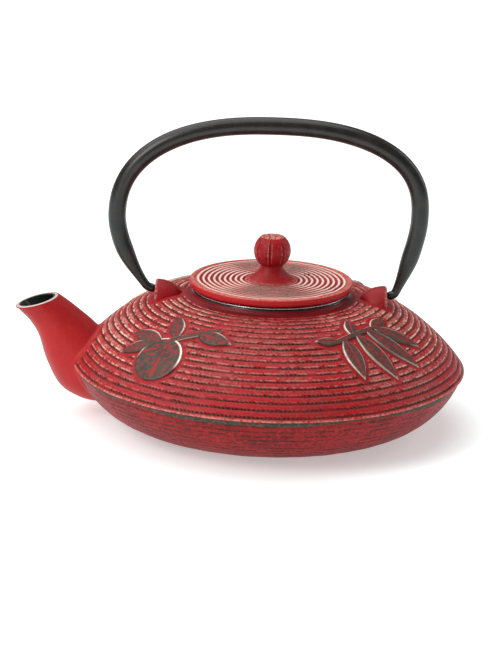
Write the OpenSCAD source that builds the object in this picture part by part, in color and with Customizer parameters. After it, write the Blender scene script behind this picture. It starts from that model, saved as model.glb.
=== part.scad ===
// Cast iron teapot with a bail handle, a lift-off lid and a steel infuser.
// Millimetres, +Z up. The origin is the centre of the flat base. The spout points along -X.

/* [Pot] */
// Radius of the pot at its widest line
belly_r = 82.5; // [66:0.5:100]
// Height of the widest line above the base
belly_z = 24.6; // [20:0.1:30]
// Height of the shoulder where it meets the collar
shoulder_z = 53.6; // [46:0.1:64.4]
// Radius of the flat foot
foot_r = 45.5; // [36:0.5:54]
// Height of the flat foot
foot_h = 0.9; // [0.5:0.1:2]
// Wall of the casting
wall = 3.2; // [2.4:0.1:4]
// Thickness of the floor
floor_t = 3.6; // [2.6:0.1:5]
// How far the upper half stands out over the lower half
ledge = 0.9; // [0.3:0.1:1.5]
// Thickness of the enamel inside
enamel_t = 0.4; // [0.2:0.05:0.8]

/* [Mouth] */
// Inside radius of the mouth, over the enamel
mouth_r = 30.4; // [25:0.1:37]
// Width of the lip round the mouth
lip_w = 2.8; // [2.3:0.1:4]
// How far the collar flares out from its lip to its foot
collar_flare = 2.2; // [1.5:0.1:3]
// Height of the collar above the shoulder
collar_h = 2.2; // [1.5:0.1:4]
// Width of the flat between the collar's foot and the shoulder's curve
shoulder_flat = 4.8; // [3:0.1:7]

/* [Spout] */
// Wall of the spout
spout_wall = 2.5; // [1.8:0.1:3]
// Radius of the passage through the pot's wall
spout_bore_r = 8.5; // [7:0.1:10.2]
// Slope of the passage through the pot's wall
spout_bore_tilt = 40; // [30:1:45]

/* [Lugs] */
// How far each lug's flat face stands out from where the shoulder's curve ends
lug_out = 8.3; // [6:0.1:11]
// Length of a lug, from its flat face to its nose
lug_len = 12.4; // [10:0.1:15]
// Radius of a lug's flat face
lug_r = 9.3; // [7.7:0.1:11.2]
// Metal of a lug above the middle of its pin
lug_over_pin = 3.8; // [3:0.1:5]
// Depth of the hole for the handle's pin
lug_hole_depth = 7.5; // [5:0.1:8.5]

/* [Handle] */
// Height of the handle's pins above the shoulder
pin_rise = 1.4; // [0.5:0.1:2.5]
// Radius of the handle's pins
pin_r = 1.4; // [1:0.05:1.8]
// Running clearance round a pin
pin_gap = 0.08; // [0.04:0.01:0.1]
// Gap between a lug's flat face and the bend of the handle
hook_gap = 1; // [0.6:0.1:2]
// Radius of the bend above each pin
hook_r = 3.6; // [3:0.1:5]
// Angle of the handle's arms off the upright, at the bend
hook_tilt = 30; // [20:1:40]
// How far the middle of the bar swings out beyond a lug's face
bow_out = 14.4; // [11:0.1:20]
// Height of the handle's middle line above its pins
bow_h = 70.6; // [66:0.1:90]
// Height of the handle's widest line above its pins
bow_wide_h = 32; // [26:0.5:40]
// Radius of the bar over most of its length
bar_r = 3.75; // [3:0.05:4.5]
// Radius of the bar where it bends into a pin
bar_end_r = 1.85; // [1.5:0.05:2.2]
// How far the hand-bent bow leans off centre
bow_sway = 4; // [0:0.5:6]

/* [Infuser] */
// Thickness of the sheet and of the mesh
sheet_t = 0.5; // [0.3:0.05:0.8]
// Gap between the mouth and what drops through it
infuser_gap = 0.5; // [0.3:0.1:1.2]
// How far the flange laps the lip, measured from the mouth
flange_lap = 2.3; // [1.8:0.1:2.8]
// Depth of the neck under the flange
neck_h = 5; // [3:0.5:8]
// Depth of the infuser below the flange
infuser_h = 36; // [28:0.5:40]
// Height of the base ring
base_ring_h = 3; // [2:0.1:5]
// Width of the seam strip
seam_w = 5; // [3:0.5:8]

/* [Lid] */
// How far the lid's rim stands out over the flange
lid_over = 1.6; // [1.2:0.1:3]
// Thickness of the lid at its rim
lid_t = 2.9; // [2.4:0.1:4]
// Step from the lid's seat up to the underside of its rim
lid_step = 0.7; // [0.4:0.1:1.2]
// Rounding of the lid's rim
rim_round = 1.1; // [0.6:0.1:1.2]
// Gap between the skirt under the lid and the infuser
skirt_gap = 1.6; // [1:0.1:3]
// Thickness of the skirt
skirt_t = 2.2; // [1.6:0.1:3]
// Depth of the skirt below the seat
skirt_h = 4.4; // [3:0.1:6]
// Gap between pieces that rest on each other but lift apart
seat_gap = 0.1; // [0.05:0.01:0.2]
// Radius of the steam hole
vent_r = 1.1; // [0.8:0.1:1.5]
// Distance of the steam hole from the lid's axis
vent_at = 18; // [15:0.5:22]
// Direction of the steam hole from the lid's axis
vent_turn = 34; // [0:1:90]

/* [Knob] */
// Radius of the knob's bud
knob_r = 7.75; // [6.5:0.05:9]
// Radius of the flower on top of the knob
flower_r = 4.75; // [4:0.05:5.5]
// Radius of the knob's neck
neck_r = 4.8; // [4:0.1:5.5]
// Radius of the knob's foot
knob_foot_r = 10.2; // [8:0.1:12]
// Height of the neck above the lid
knob_neck_h = 6.3; // [5:0.1:8]
// Radius of the washer under the lid
washer_r = 4.5; // [3.5:0.1:6]
// Radius of the rivet's head
rivet_head_r = 2.9; // [2.2:0.1:3.4]
// Radius of the rivet's shank
rivet_r = 1.5; // [1.2:0.1:2]
// Depth of the rivet's hole in the knob
rivet_grip = 9; // [6:0.5:12]

/* [Reliefs] */
// Height of the reliefs above the shoulder
relief_h = 0.9; // [0.5:0.1:1.4]
// Overall scale of a relief
relief_scale = 1; // [0.8:0.05:1.1]
// Direction of the fruit relief from the pot's axis
fruit_turn = -131; // [-140:1:-125]
// Direction of the leaf relief from the pot's axis
leaf_turn = -48; // [-55:1:-40]

/* [Hidden] */
$fn = 96;

// Colours
RED = [0.72, 0.19, 0.18];
ENAMEL = [0.07, 0.07, 0.07];
IRON = [0.12, 0.11, 0.11];
STEEL = [0.72, 0.73, 0.74];
BRONZE = [0.33, 0.32, 0.26];

// Shape of the pot's curves: how fast they leave the belly, how full they are, and how much
// their points crowd towards the tighter end
lower_bow = 1.34;
lower_full = 2.5;
lower_crowd = 1.8;
upper_bow = 1.1;
upper_full = 1.63;
upper_crowd = 1.7;
curve_steps = 16;

// Small steps of the casting
foot_step = 1.5;   // from the flat foot out to the lower curve
foot_wall = 2.5;   // from the cavity's floor out to the flat foot
ledge_drop = 0.3;  // from the widest line down to the top of the lower curve
belly_flat = 0.6;  // upright stretch of the cavity at the widest line
shoulder_in = 3;   // from the shoulder's end in to the cavity's
collar_rise = 0.2; // fall of the flat between the collar and the shoulder
cove_w = 0.4;      // hollow at the foot of the collar's lip
cove_h = 0.9;
lip_bevel = 0.2;   // slope of the enamel's edge on the lip

// Radii and levels that follow from the sizes above
lip_r = mouth_r + lip_w;
collar_r = lip_r + collar_flare;
shoulder_r = collar_r + shoulder_flat;
flange_r = mouth_r + flange_lap;
lid_r = flange_r + lid_over;
infuser_r = mouth_r - infuser_gap;
skirt_r = infuser_r - sheet_t - skirt_gap;
lug_face_x = shoulder_r + lug_out;
bow_half_w = lug_face_x + bow_out;
lip_z = shoulder_z + collar_h;
flange_z = lip_z + enamel_t + seat_gap;
lid_seat_z = flange_z + sheet_t + seat_gap;
lid_under_z = lid_seat_z + lid_step;
lid_top_z = lid_under_z + lid_t;
pin_z = shoulder_z + pin_rise;
lug_z = pin_z + lug_over_pin - lug_r;
knob_ball_z = lid_top_z + knob_neck_h + sqrt(pow(knob_r, 2) - pow(neck_r, 2));
knob_top_z = knob_ball_z + sqrt(pow(knob_r, 2) - pow(flower_r, 2));
infuser_z = flange_z - infuser_h;
hair = 0.01; // overlap that joins shapes drawn edge to edge

// ---- curves -------------------------------------------------------------------------------

// From the foot (r0, z0) out and up to the belly (r1, z1); points crowd where it bends most.
function lower_curve(r0, z0, r1, z1) =
    [for (i = [0:curve_steps])
        let (s = pow(i / curve_steps, lower_crowd))
        [r0 + (r1 - r0) * pow(1 - pow(1 - s, lower_bow), 1 / lower_full), z0 + (z1 - z0) * s]];

// From the belly (r1, z1) in and up to the top of the shoulder (r2, z2).
function upper_curve(r1, z1, r2, z2) =
    [for (i = [0:curve_steps])
        let (s = 1 - pow(1 - i / curve_steps, upper_crowd))
        [r2 + (r1 - r2) * pow(1 - pow(s, upper_bow), 1 / upper_full), z1 + (z2 - z1) * s]];

// The outline of the shoulder, outside, and of the cavity, drawn in by a further depth d.
function shoulder_line() = upper_curve(belly_r, belly_z, shoulder_r, shoulder_z);
function cavity_lower(d) =
    lower_curve(foot_r - foot_wall - d, floor_t + d, belly_r - wall - d, belly_z);
function cavity_upper(d) =
    upper_curve(belly_r - wall - d, belly_z + belly_flat,
                shoulder_r - shoulder_in - d, shoulder_z - wall - d);
function cavity_line(d) = concat(
    [[0, floor_t + d]], cavity_lower(d), cavity_upper(d),
    [[mouth_r + enamel_t - d, shoulder_z - wall - d]]);

// The outside of the bowl, from the foot to just under the widest line.
function bowl_line() = concat(
    [[foot_r, 0], [foot_r, foot_h]],
    lower_curve(foot_r + foot_step, foot_h, belly_r - ledge, belly_z - ledge_drop));

function unit(v) = v / norm(v);
// Outward side of the step from a to b, for a line that climbs with the outside on its right.
function side(a, b) = let (t = unit(b - a)) [t[1], -t[0]];
// The line pushed outwards by d, square to itself.
function pushed(line, d) =
    [for (i = [0:len(line) - 1])
        let (n1 = side(line[max(i - 1, 0)], line[max(i, 1)]),
             n2 = side(line[min(i, len(line) - 2)], line[min(i + 1, len(line) - 1)]),
             n = (n1 + n2) / (1 + n1 * n2))
        line[i] + d * n];
function reversed(list) = [for (i = [len(list) - 1:-1:0]) list[i]];

module body_fill() {
    top = shoulder_z + collar_rise;
    rotate_extrude() polygon(concat([[0, 0]], bowl_line(), shoulder_line(), [[collar_r, top], [0, top]]));
}

// ---- pot ----------------------------------------------------------------------------------

// The round passage from the pot into the spout, through the middle of the spout's root.
module spout_passage() {
    root = spout_stations[2];
    inward = 14;
    outward = 7;
    translate([-belly_r - root[0], 0, belly_z + root[1]]) rotate([0, -90 + spout_bore_tilt, 0])
        translate([0, 0, -inward]) cylinder(r = spout_bore_r, h = inward + outward);
}

// The casting is drawn as a floor, a bowl up to the widest line, a shell above it and a collar.
floor_r = foot_r - foot_wall;
split_r = shoulder_r - shoulder_in;
split_z = shoulder_z + collar_rise * shoulder_in / shoulder_flat;

module pot_floor() {
    color(RED) cylinder(r = floor_r, h = floor_t);
}

module pot_bowl() {
    color(RED) difference() {
        rotate_extrude() polygon(concat(
            [[floor_r, 0]], bowl_line(), [[belly_r, belly_z]], reversed(cavity_lower(0))));
        spout_passage();
    }
}

module pot_shell() {
    color(RED) difference() {
        rotate_extrude() polygon(concat(
            shoulder_line(), [[split_r, split_z]], reversed(cavity_upper(0)),
            [[belly_r - wall, belly_z]]));
        spout_passage();
    }
}

module pot_collar() {
    color(RED) rotate_extrude() polygon([
        [split_r, split_z], [collar_r, shoulder_z + collar_rise],
        [lip_r + cove_w, shoulder_z + cove_h], [lip_r, lip_z], [mouth_r + enamel_t, lip_z],
        [mouth_r + enamel_t, shoulder_z - wall], [split_r, shoulder_z - wall]]);
}

module enamel_lining() {
    color(ENAMEL) difference() {
        rotate_extrude() polygon(concat(
            cavity_line(0),
            [[mouth_r + enamel_t, lip_z], [lip_r, lip_z], [lip_r - lip_bevel, lip_z + enamel_t],
             [mouth_r, lip_z + enamel_t]],
            reversed(cavity_line(enamel_t))));
        spout_passage();
    }
}

// ---- spout --------------------------------------------------------------------------------

// Sections of the spout, root to mouth: distance out from the belly, height above the belly,
// tilt of the section off the level, half length along the tilt, half width across.
spout_stations = [
    [-20.5, -6.6, 88, 12.5, 13],
    [-12.4, -5.5, 80, 14, 16],
    [-7.5, -3.1, 68, 15.3, 16.5],
    [-2.3, 0.1, 57, 14.9, 15],
    [2.4, 7.1, 45, 12.8, 12.2],
    [6.2, 14.1, 33, 10.2, 10],
    [10.2, 18.9, 25, 9.3, 9.3],
    [13.3, 21.6, 20, 9.3, 9.3],
    [15.7, 23.6, 15.5, 9.35, 9.35]];
spout_sub = 3;
spout_sides = 32;

// A smooth curve through four values, at u from the second to the third.
function smooth(a, b, c, d, u) =
    0.5 * (2 * b + (c - a) * u + (2 * a - 5 * b + 4 * c - d) * u * u
           + (3 * b - a - 3 * c + d) * u * u * u);
function spout_at(i, u) =
    let (s = spout_stations, n = len(s) - 1)
    smooth(s[max(i - 1, 0)], s[i], s[min(i + 1, n)], s[min(i + 2, n)], u);
spout_rows = concat(
    [for (i = [0:len(spout_stations) - 2]) for (k = [0:spout_sub - 1]) spout_at(i, k / spout_sub)],
    [spout_stations[len(spout_stations) - 1]]);

// One ring of the spout, drawn in by the wall w.
function spout_ring(row, w) =
    [for (k = [0:spout_sides - 1])
        let (a = 360 * k / spout_sides, along = (row[3] - w) * cos(a), across = (row[4] - w) * sin(a))
        [-belly_r - row[0] + along * cos(row[2]), across, belly_z + row[1] + along * sin(row[2])]];
// The ring that carries the last one straight on by a little, to cut cleanly through the mouth.
function spout_past(row, w, d) =
    [for (p = spout_ring(row, w)) p + d * [-sin(row[2]), 0, cos(row[2])]];

// A closed tube through rings of equal length.
module tube_through(rings) {
    n = len(rings[0]);
    m = len(rings);
    polyhedron(
        points = [for (ring = rings) for (p = ring) p],
        faces = concat(
            [[for (k = [0:n - 1]) k]],
            [for (j = [0:m - 2]) for (k = [0:n - 1])
                [j * n + k, (j + 1) * n + k, (j + 1) * n + (k + 1) % n, j * n + (k + 1) % n]],
            [[for (k = [n - 1:-1:0]) (m - 1) * n + k]]),
        convexity = 6);
}

module spout() {
    last = spout_rows[len(spout_rows) - 1];
    color(RED) difference() {
        tube_through([for (row = spout_rows) spout_ring(row, 0)]);
        tube_through(concat([for (row = spout_rows) spout_ring(row, spout_wall)],
                            [spout_past(last, spout_wall, 1)]));
        body_fill();
        spout_passage();
    }
}

// ---- lugs ---------------------------------------------------------------------------------

// A half dome lying on its side, with its flat face outwards, for the lug on the +X side.
module lug() {
    steps = 10;
    color(RED) difference() {
        translate([lug_face_x, 0, lug_z]) rotate([0, -90, 0]) rotate_extrude()
            polygon(concat([[0, 0]],
                [for (i = [0:steps]) let (a = 90 * i / steps) [lug_r * cos(a), lug_len * sin(a)]]));
        body_fill();
        translate([lug_face_x - lug_hole_depth, 0, pin_z]) rotate([0, 90, 0])
            cylinder(r = pin_r + pin_gap, h = lug_hole_depth + 1);
    }
}

module far_side_lug() {
    lug();
}

module spout_side_lug() {
    mirror([1, 0, 0]) lug();
}

// ---- handle -------------------------------------------------------------------------------

hook_x = lug_face_x + hook_gap;
arm_x = hook_x + hook_r * cos(hook_tilt);
arm_h = hook_r * (1 - sin(hook_tilt));
arm_len = bow_wide_h - arm_h;
arm_in = bow_half_w - arm_x;
arm_bow = tan(hook_tilt) * arm_len / arm_in;
bow_full = 2.4;   // how square the bow's corners are
taper_low = 1;    // the bar starts to thicken this far above the pins
taper_top = 14;   // and is full size this far below its widest line
bar_sides = 16;

// Middle line of the +X half, top to pin, as [x, height above the pins].
bow_top = [for (a = [90:-7.5:7.5])
    [bow_half_w * pow(cos(a), 2 / bow_full),
     bow_wide_h + (bow_h - bow_wide_h) * pow(sin(a), 2 / bow_full)]];
bow_arm = [for (i = [0:9]) let (u = i / 9)
    [bow_half_w - arm_in * pow(u, arm_bow), bow_wide_h - arm_len * u]];
bow_hook = [for (i = [1:5]) let (a = -hook_tilt - (90 - hook_tilt) * i / 5)
    [hook_x + hook_r * cos(a), hook_r + hook_r * sin(a)]];
bow_half = concat(bow_top, bow_arm, bow_hook);
bow_line = concat([for (p = reversed(bow_half)) [-p[0], p[1]]],
                  [for (i = [1:len(bow_half) - 1]) bow_half[i]]);

// The lean of the hand-bent bow at height h, and the bar's radius there.
function sway(h) = let (u = max(0, h / bow_h)) bow_sway * sin(180 * u) * (1 - u);
function taper(h) = let (t = max(0, min(1, (h - taper_low) / (bow_wide_h - taper_top - taper_low))))
    bar_end_r + (bar_r - bar_end_r) * t * t * (3 - 2 * t);

function bar_ring(i) =
    let (n = len(bow_line) - 1,
         a = bow_line[max(i - 1, 0)], b = bow_line[min(i + 1, n)],
         ends = i == 0 || i == n,
         t = ends ? [-1, 0] : unit(b - a),
         p = bow_line[i], r = taper(p[1]))
    [for (k = [0:bar_sides - 1]) let (c = 360 * k / bar_sides)
        [p[0] - sway(p[1]) + t[1] * r * cos(c), r * sin(c), pin_z + p[1] - t[0] * r * cos(c)]];

module bail_handle() {
    end_gap = 1; // from a pin's end to the end of its hole
    lap = 0.4;   // how far a pin reaches into the bent bar
    pin_in = lug_hole_depth - end_gap;
    color(IRON) union() {
        tube_through([for (i = [0:len(bow_line) - 1]) bar_ring(i)]);
        for (s = [-1, 1])
            translate([s * (lug_face_x - pin_in), 0, pin_z]) rotate([0, s * 90, 0])
                cylinder(r = pin_r, h = pin_in + hook_gap + lap);
    }
}

// ---- reliefs ------------------------------------------------------------------------------

// A pointed leaf from the origin along +X, fullest a little before its middle.
module leaf(length, width) {
    steps = 7;
    edge = [for (i = [1:steps]) let (t = i / (steps + 1)) [length * t, sin(180 * pow(t, 0.85))]];
    polygon(concat([[0, 0]], [for (p = edge) [p[0], p[1] * width / 2]], [[length, 0]],
                   [for (p = reversed(edge)) [p[0], -p[1] * width / 2]]));
}

// A straight twig from a to b.
module twig(a, b, w) {
    translate(a) rotate(atan2(b[1] - a[1], b[0] - a[0])) translate([0, -w / 2])
        square([norm(b - a), w]);
}

// A round fruit under a twig with leaves.
module fruit_outline() {
    translate([0.5, -7.5]) circle(10.5);
    twig([-1, 1], [17, 15], 2.6);
    translate([9, 9]) rotate(4) leaf(16, 7);
    translate([2, 4]) rotate(128) leaf(15, 6.5);
    translate([-3, 0]) rotate(172) leaf(19, 7.5);
    translate([-7, -1]) rotate(208) leaf(16, 6);
}

// A spray of leaves that hang from one twig.
module leaf_outline() {
    twig([-14, 8], [9, 11], 2.4);
    translate([-12, 8]) rotate(158) leaf(10, 4.5);
    translate([8, 11]) rotate(20) leaf(13, 5.5);
    translate([-4, 9]) rotate(62) leaf(11, 5);
    translate([-9, 9]) rotate(-98) leaf(21, 7.5);
    translate([-2, 10]) rotate(-78) leaf(26, 8);
    translate([4, 11]) rotate(-57) leaf(27, 8);
    translate([9, 11]) rotate(-34) leaf(22, 7);
}

// Where the middle of a relief's plane stands on the shoulder, and how the plane slopes
relief_rise = 0.69;
relief_shift = 1;
relief_r = (belly_r + shoulder_r) / 2 + relief_shift;
relief_z = belly_z + (shoulder_z - belly_z) * relief_rise;
relief_slope = 40;

// The layer of a relief's height that lies on the shoulder.
module shoulder_layer() {
    line = shoulder_line();
    outer = pushed(line, relief_h);
    rotate_extrude() polygon(concat([for (i = [2:len(line) - 2]) line[i]],
                                    [for (i = [len(line) - 2:-1:2]) outer[i]]));
}

// An outline laid on the shoulder in the direction turn, its +Y pointing up the slope.
module relief(turn) {
    below = 16;
    above = 24;
    color(BRONZE) intersection() {
        shoulder_layer();
        rotate([0, 0, turn + 90]) translate([0, -relief_r, relief_z]) rotate([relief_slope, 0, 0])
            translate([0, 0, -below]) scale([relief_scale, relief_scale, 1])
                linear_extrude(below + above) children();
    }
}

module front_fruit_relief() {
    relief(fruit_turn) fruit_outline();
}

module front_leaf_relief() {
    relief(leaf_turn) leaf_outline();
}

module back_fruit_relief() {
    relief(fruit_turn + 180) fruit_outline();
}

module back_leaf_relief() {
    relief(leaf_turn + 180) leaf_outline();
}

// ---- infuser ------------------------------------------------------------------------------

base_lip = 3;    // width of the base ring's inward lip
base_t = 0.6;    // thickness of that lip
wall_top = 1;    // from the flange down to the top of the mesh wall
seam_t = 0.3;    // thickness of the seam strip
seam_end = 0.2;  // gap at each end of the seam strip
mesh_lift = 0.1; // from the underside of the base ring up to the base mesh

module ring(r_out, r_in, h) {
    difference() {
        cylinder(r = r_out, h = h);
        translate([0, 0, -1]) cylinder(r = r_in, h = h + 2);
    }
}

module infuser_rim() {
    color(STEEL) rotate_extrude() polygon([
        [infuser_r - sheet_t, flange_z - neck_h], [infuser_r, flange_z - neck_h],
        [infuser_r, flange_z], [flange_r, flange_z], [flange_r, flange_z + sheet_t],
        [infuser_r - sheet_t, flange_z + sheet_t]]);
}

module infuser_wall() {
    color(STEEL) translate([0, 0, infuser_z + base_t])
        ring(infuser_r - sheet_t, infuser_r - 2 * sheet_t, infuser_h - base_t - wall_top);
}

module infuser_seam() {
    seam_r = infuser_r - 2 * sheet_t;
    color(STEEL) intersection() {
        translate([0, 0, infuser_z + base_ring_h + seam_end])
            ring(seam_r, seam_r - seam_t, infuser_h - base_ring_h - wall_top - 2 * seam_end);
        translate([-seam_w / 2, 0, infuser_z]) cube([seam_w, infuser_r, infuser_h]);
    }
}

module infuser_base_ring() {
    color(STEEL) rotate_extrude() polygon([
        [infuser_r - base_lip, infuser_z], [infuser_r, infuser_z],
        [infuser_r, infuser_z + base_ring_h], [infuser_r - sheet_t, infuser_z + base_ring_h],
        [infuser_r - sheet_t, infuser_z + base_t], [infuser_r - base_lip, infuser_z + base_t]]);
}

module infuser_base_mesh() {
    color(STEEL) translate([0, 0, infuser_z + mesh_lift])
        cylinder(r = infuser_r - base_lip, h = sheet_t);
}

// ---- lid ----------------------------------------------------------------------------------

seat_over = 1.4;  // how far the lid's seat reaches out over the flange from the infuser
knob_flare = 1.9; // how fast the knob's foot narrows to its neck
washer_t = 0.8;
rivet_head_h = 1.3;

module lid_plate() {
    seat_r = infuser_r + seat_over;
    color(RED) difference() {
        rotate_extrude() {
            difference() {
                union() {
                    translate([0, lid_under_z]) square([lid_r - rim_round, lid_t]);
                    translate([0, lid_under_z + rim_round]) square([lid_r, lid_t - 2 * rim_round]);
                    for (z = [rim_round, lid_t - rim_round])
                        translate([lid_r - rim_round, lid_under_z + z]) circle(rim_round);
                    translate([skirt_r - skirt_t, lid_seat_z])
                        square([seat_r - skirt_r + skirt_t, lid_step + hair]);
                    translate([skirt_r - skirt_t, lid_seat_z - skirt_h]) square([skirt_t, skirt_h + hair]);
                }
                translate([-lid_r, 0]) square([lid_r, lid_top_z + 1]);
            }
        }
        translate([0, 0, lid_seat_z]) cylinder(r = rivet_r, h = lid_t + lid_step + 1);
        rotate([0, 0, vent_turn]) translate([vent_at, 0, lid_seat_z])
            cylinder(r = vent_r, h = lid_t + lid_step + 1);
    }
}

module lid_knob() {
    flare = [for (i = [0:8]) let (u = i / 8)
        [neck_r + (knob_foot_r - neck_r) * pow(1 - u, knob_flare),
         lid_top_z + knob_neck_h * u]];
    low = -acos(neck_r / knob_r);
    high = acos(flower_r / knob_r);
    ball = [for (i = [1:16]) let (a = low + (high - low) * i / 16)
        [knob_r * cos(a), knob_ball_z + knob_r * sin(a)]];
    color(RED) difference() {
        rotate_extrude() polygon(concat([[0, lid_top_z]], flare, ball, [[0, knob_top_z]]));
        translate([0, 0, lid_top_z - hair]) cylinder(r = rivet_r, h = rivet_grip + hair);
    }
}

module knob_washer() {
    color(STEEL) translate([0, 0, lid_under_z - washer_t]) ring(washer_r, rivet_r, washer_t);
}

module knob_rivet() {
    head_z = lid_under_z - washer_t;
    color(STEEL) rotate_extrude() polygon([
        [0, head_z - rivet_head_h], [rivet_head_r * 0.66, head_z - rivet_head_h * 0.85],
        [rivet_head_r, head_z], [rivet_r, head_z],
        [rivet_r, lid_top_z + rivet_grip], [0, lid_top_z + rivet_grip]]);
}

pot_floor();
pot_bowl();
pot_shell();
pot_collar();
enamel_lining();
spout();
spout_side_lug();
far_side_lug();
front_fruit_relief();
front_leaf_relief();
back_fruit_relief();
back_leaf_relief();
infuser_rim();
infuser_wall();
infuser_seam();
infuser_base_ring();
infuser_base_mesh();
lid_plate();
lid_knob();
knob_rivet();
knob_washer();
bail_handle();
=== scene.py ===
import math
import bpy
import bmesh
import numpy as np
from mathutils import Matrix, Vector


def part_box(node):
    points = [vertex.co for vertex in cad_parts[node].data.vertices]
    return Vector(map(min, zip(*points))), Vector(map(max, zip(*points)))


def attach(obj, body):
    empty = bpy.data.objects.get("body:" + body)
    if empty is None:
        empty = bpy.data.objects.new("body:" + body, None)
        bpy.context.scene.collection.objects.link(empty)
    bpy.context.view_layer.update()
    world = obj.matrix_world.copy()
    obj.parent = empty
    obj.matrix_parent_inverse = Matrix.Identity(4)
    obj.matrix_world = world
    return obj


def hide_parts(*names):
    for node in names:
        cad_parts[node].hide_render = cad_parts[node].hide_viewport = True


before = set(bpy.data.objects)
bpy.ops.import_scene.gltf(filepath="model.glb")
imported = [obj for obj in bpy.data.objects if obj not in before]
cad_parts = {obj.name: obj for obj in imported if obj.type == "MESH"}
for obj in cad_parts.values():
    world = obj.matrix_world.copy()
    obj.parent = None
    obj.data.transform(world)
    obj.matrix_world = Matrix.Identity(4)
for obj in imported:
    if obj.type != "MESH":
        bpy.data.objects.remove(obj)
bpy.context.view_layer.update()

mm = 0.001
turn = 2 * math.pi
shellLow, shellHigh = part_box("pot_shell")
collarLow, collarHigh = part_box("pot_collar")
lidLow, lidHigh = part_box("lid_plate")
knobLow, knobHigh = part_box("lid_knob")
flangeLow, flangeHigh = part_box("infuser_rim")
footRingLow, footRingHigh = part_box("infuser_base_ring")

# camera and light
view = {
    "distance": 1.0,         # from the aim point, in metres
    "aimHeight": 35 * mm,    # height of the aim point above the floor
    "elevation": 16.43,      # degrees above the horizon
    "roll": 1.9,             # degrees
    "lens": 131.87,          # millimetres on a 36 mm sensor, along the picture's long side
    "right": 0.4707,         # degrees that the aim point sits right of the middle
    "below": 0.3353,         # degrees that it sits below the middle
}


def placeCamera():
    elevation = math.radians(view["elevation"])
    back = Vector((0, -math.cos(elevation), math.sin(elevation)))
    camera = bpy.data.objects.new("camera", bpy.data.cameras.new("camera"))
    camera.data.lens = view["lens"]
    camera.data.sensor_width = 36
    camera.data.clip_start = 0.05
    camera.data.clip_end = 20
    looking = back.to_track_quat("Z", "Y").to_matrix()
    rolled = looking @ Matrix.Rotation(math.radians(view["roll"]), 3, "Z")
    panned = rolled @ Matrix.Rotation(math.radians(view["right"]), 3, "Y")
    tilted = panned @ Matrix.Rotation(math.radians(view["below"]), 3, "X")
    camera.matrix_world = tilted.to_4x4()
    camera.location = back * view["distance"] + Vector((0, 0, view["aimHeight"]))
    bpy.context.scene.collection.objects.link(camera)
    bpy.context.scene.camera = camera


light = {
    "worldStrength": 0.27,
    "worldColour": (1.0, 1.0, 1.0, 1.0),
    "sky": {"from": (-0.36, 0.16, 1.0), "strength": 2.35, "spread": 80},  # spread in degrees
    # name: (place, aim, width, height, watts, colour)
    "softboxes": {
        "frontLeft": ((-0.95, -0.75, 0.85), (0, 0, 0.04), 0.45, 0.7, 7.5, (1.0, 0.98, 0.95)),
        "strip": ((-0.75, -0.95, 0.45), (0, 0, 0.08), 0.10, 0.9, 1.6, (1.0, 0.96, 0.92)),
        "rightEdge": ((0.95, 0.35, 0.55), (0, 0, 0.05), 0.25, 0.8, 2, (1.0, 1.0, 1.0)),
    },
}


def placeLights():
    sky = bpy.data.lights.new("sky", "SUN")
    sky.energy = light["sky"]["strength"]
    sky.angle = math.radians(light["sky"]["spread"])
    skyObject = bpy.data.objects.new("sky", sky)
    skyObject.matrix_world = Vector(light["sky"]["from"]).to_track_quat("Z", "Y").to_matrix().to_4x4()
    bpy.context.scene.collection.objects.link(skyObject)
    for name, (place, aim, width, height, watts, colour) in light["softboxes"].items():
        lamp = bpy.data.lights.new(name, "AREA")
        lamp.shape = "RECTANGLE"
        lamp.size = width
        lamp.size_y = height
        lamp.energy = watts
        lamp.color = colour
        lampObject = bpy.data.objects.new(name, lamp)
        facing = (Vector(place) - Vector(aim)).to_track_quat("Z", "Y").to_matrix().to_4x4()
        lampObject.matrix_world = Matrix.Translation(place) @ facing
        bpy.context.scene.collection.objects.link(lampObject)
    world = bpy.data.worlds.new("studio")
    world.use_nodes = True
    background = world.node_tree.nodes["Background"]
    background.inputs["Color"].default_value = light["worldColour"]
    background.inputs["Strength"].default_value = light["worldStrength"]
    bpy.context.scene.world = world
    bpy.context.scene.view_settings.view_transform = "Standard"


placeCamera()
placeLights()
print("stage: camera and lights placed")


class Signal:
    # a socket's value; sums and products of signals add Math nodes
    def __init__(self, finish, socket):
        self.finish = finish
        self.socket = socket

    def maths(self, operation, *values):
        return self.finish.add("ShaderNodeMath", {"operation": operation}, values)

    def __add__(self, other):
        return self.maths("ADD", self, other)

    def __radd__(self, other):
        return self.maths("ADD", other, self)

    def __sub__(self, other):
        return self.maths("SUBTRACT", self, other)

    def __rsub__(self, other):
        return self.maths("SUBTRACT", other, self)

    def __mul__(self, other):
        return self.maths("MULTIPLY", self, other)

    def __rmul__(self, other):
        return self.maths("MULTIPLY", other, self)

    def part(self):
        # what is left after the whole number
        return self.maths("FRACT", self)

    def awayFrom(self, value):
        return self.maths("ABSOLUTE", self - value)

    def ramp(self, low, high):
        # 0 below low, 1 above high, smooth between; low may be the larger, which turns it over
        values = {0: self, 1: low, 2: high, 3: 0.0, 4: 1.0}
        return self.finish.add("ShaderNodeMapRange", {"interpolation_type": "SMOOTHSTEP"}, values)


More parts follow.
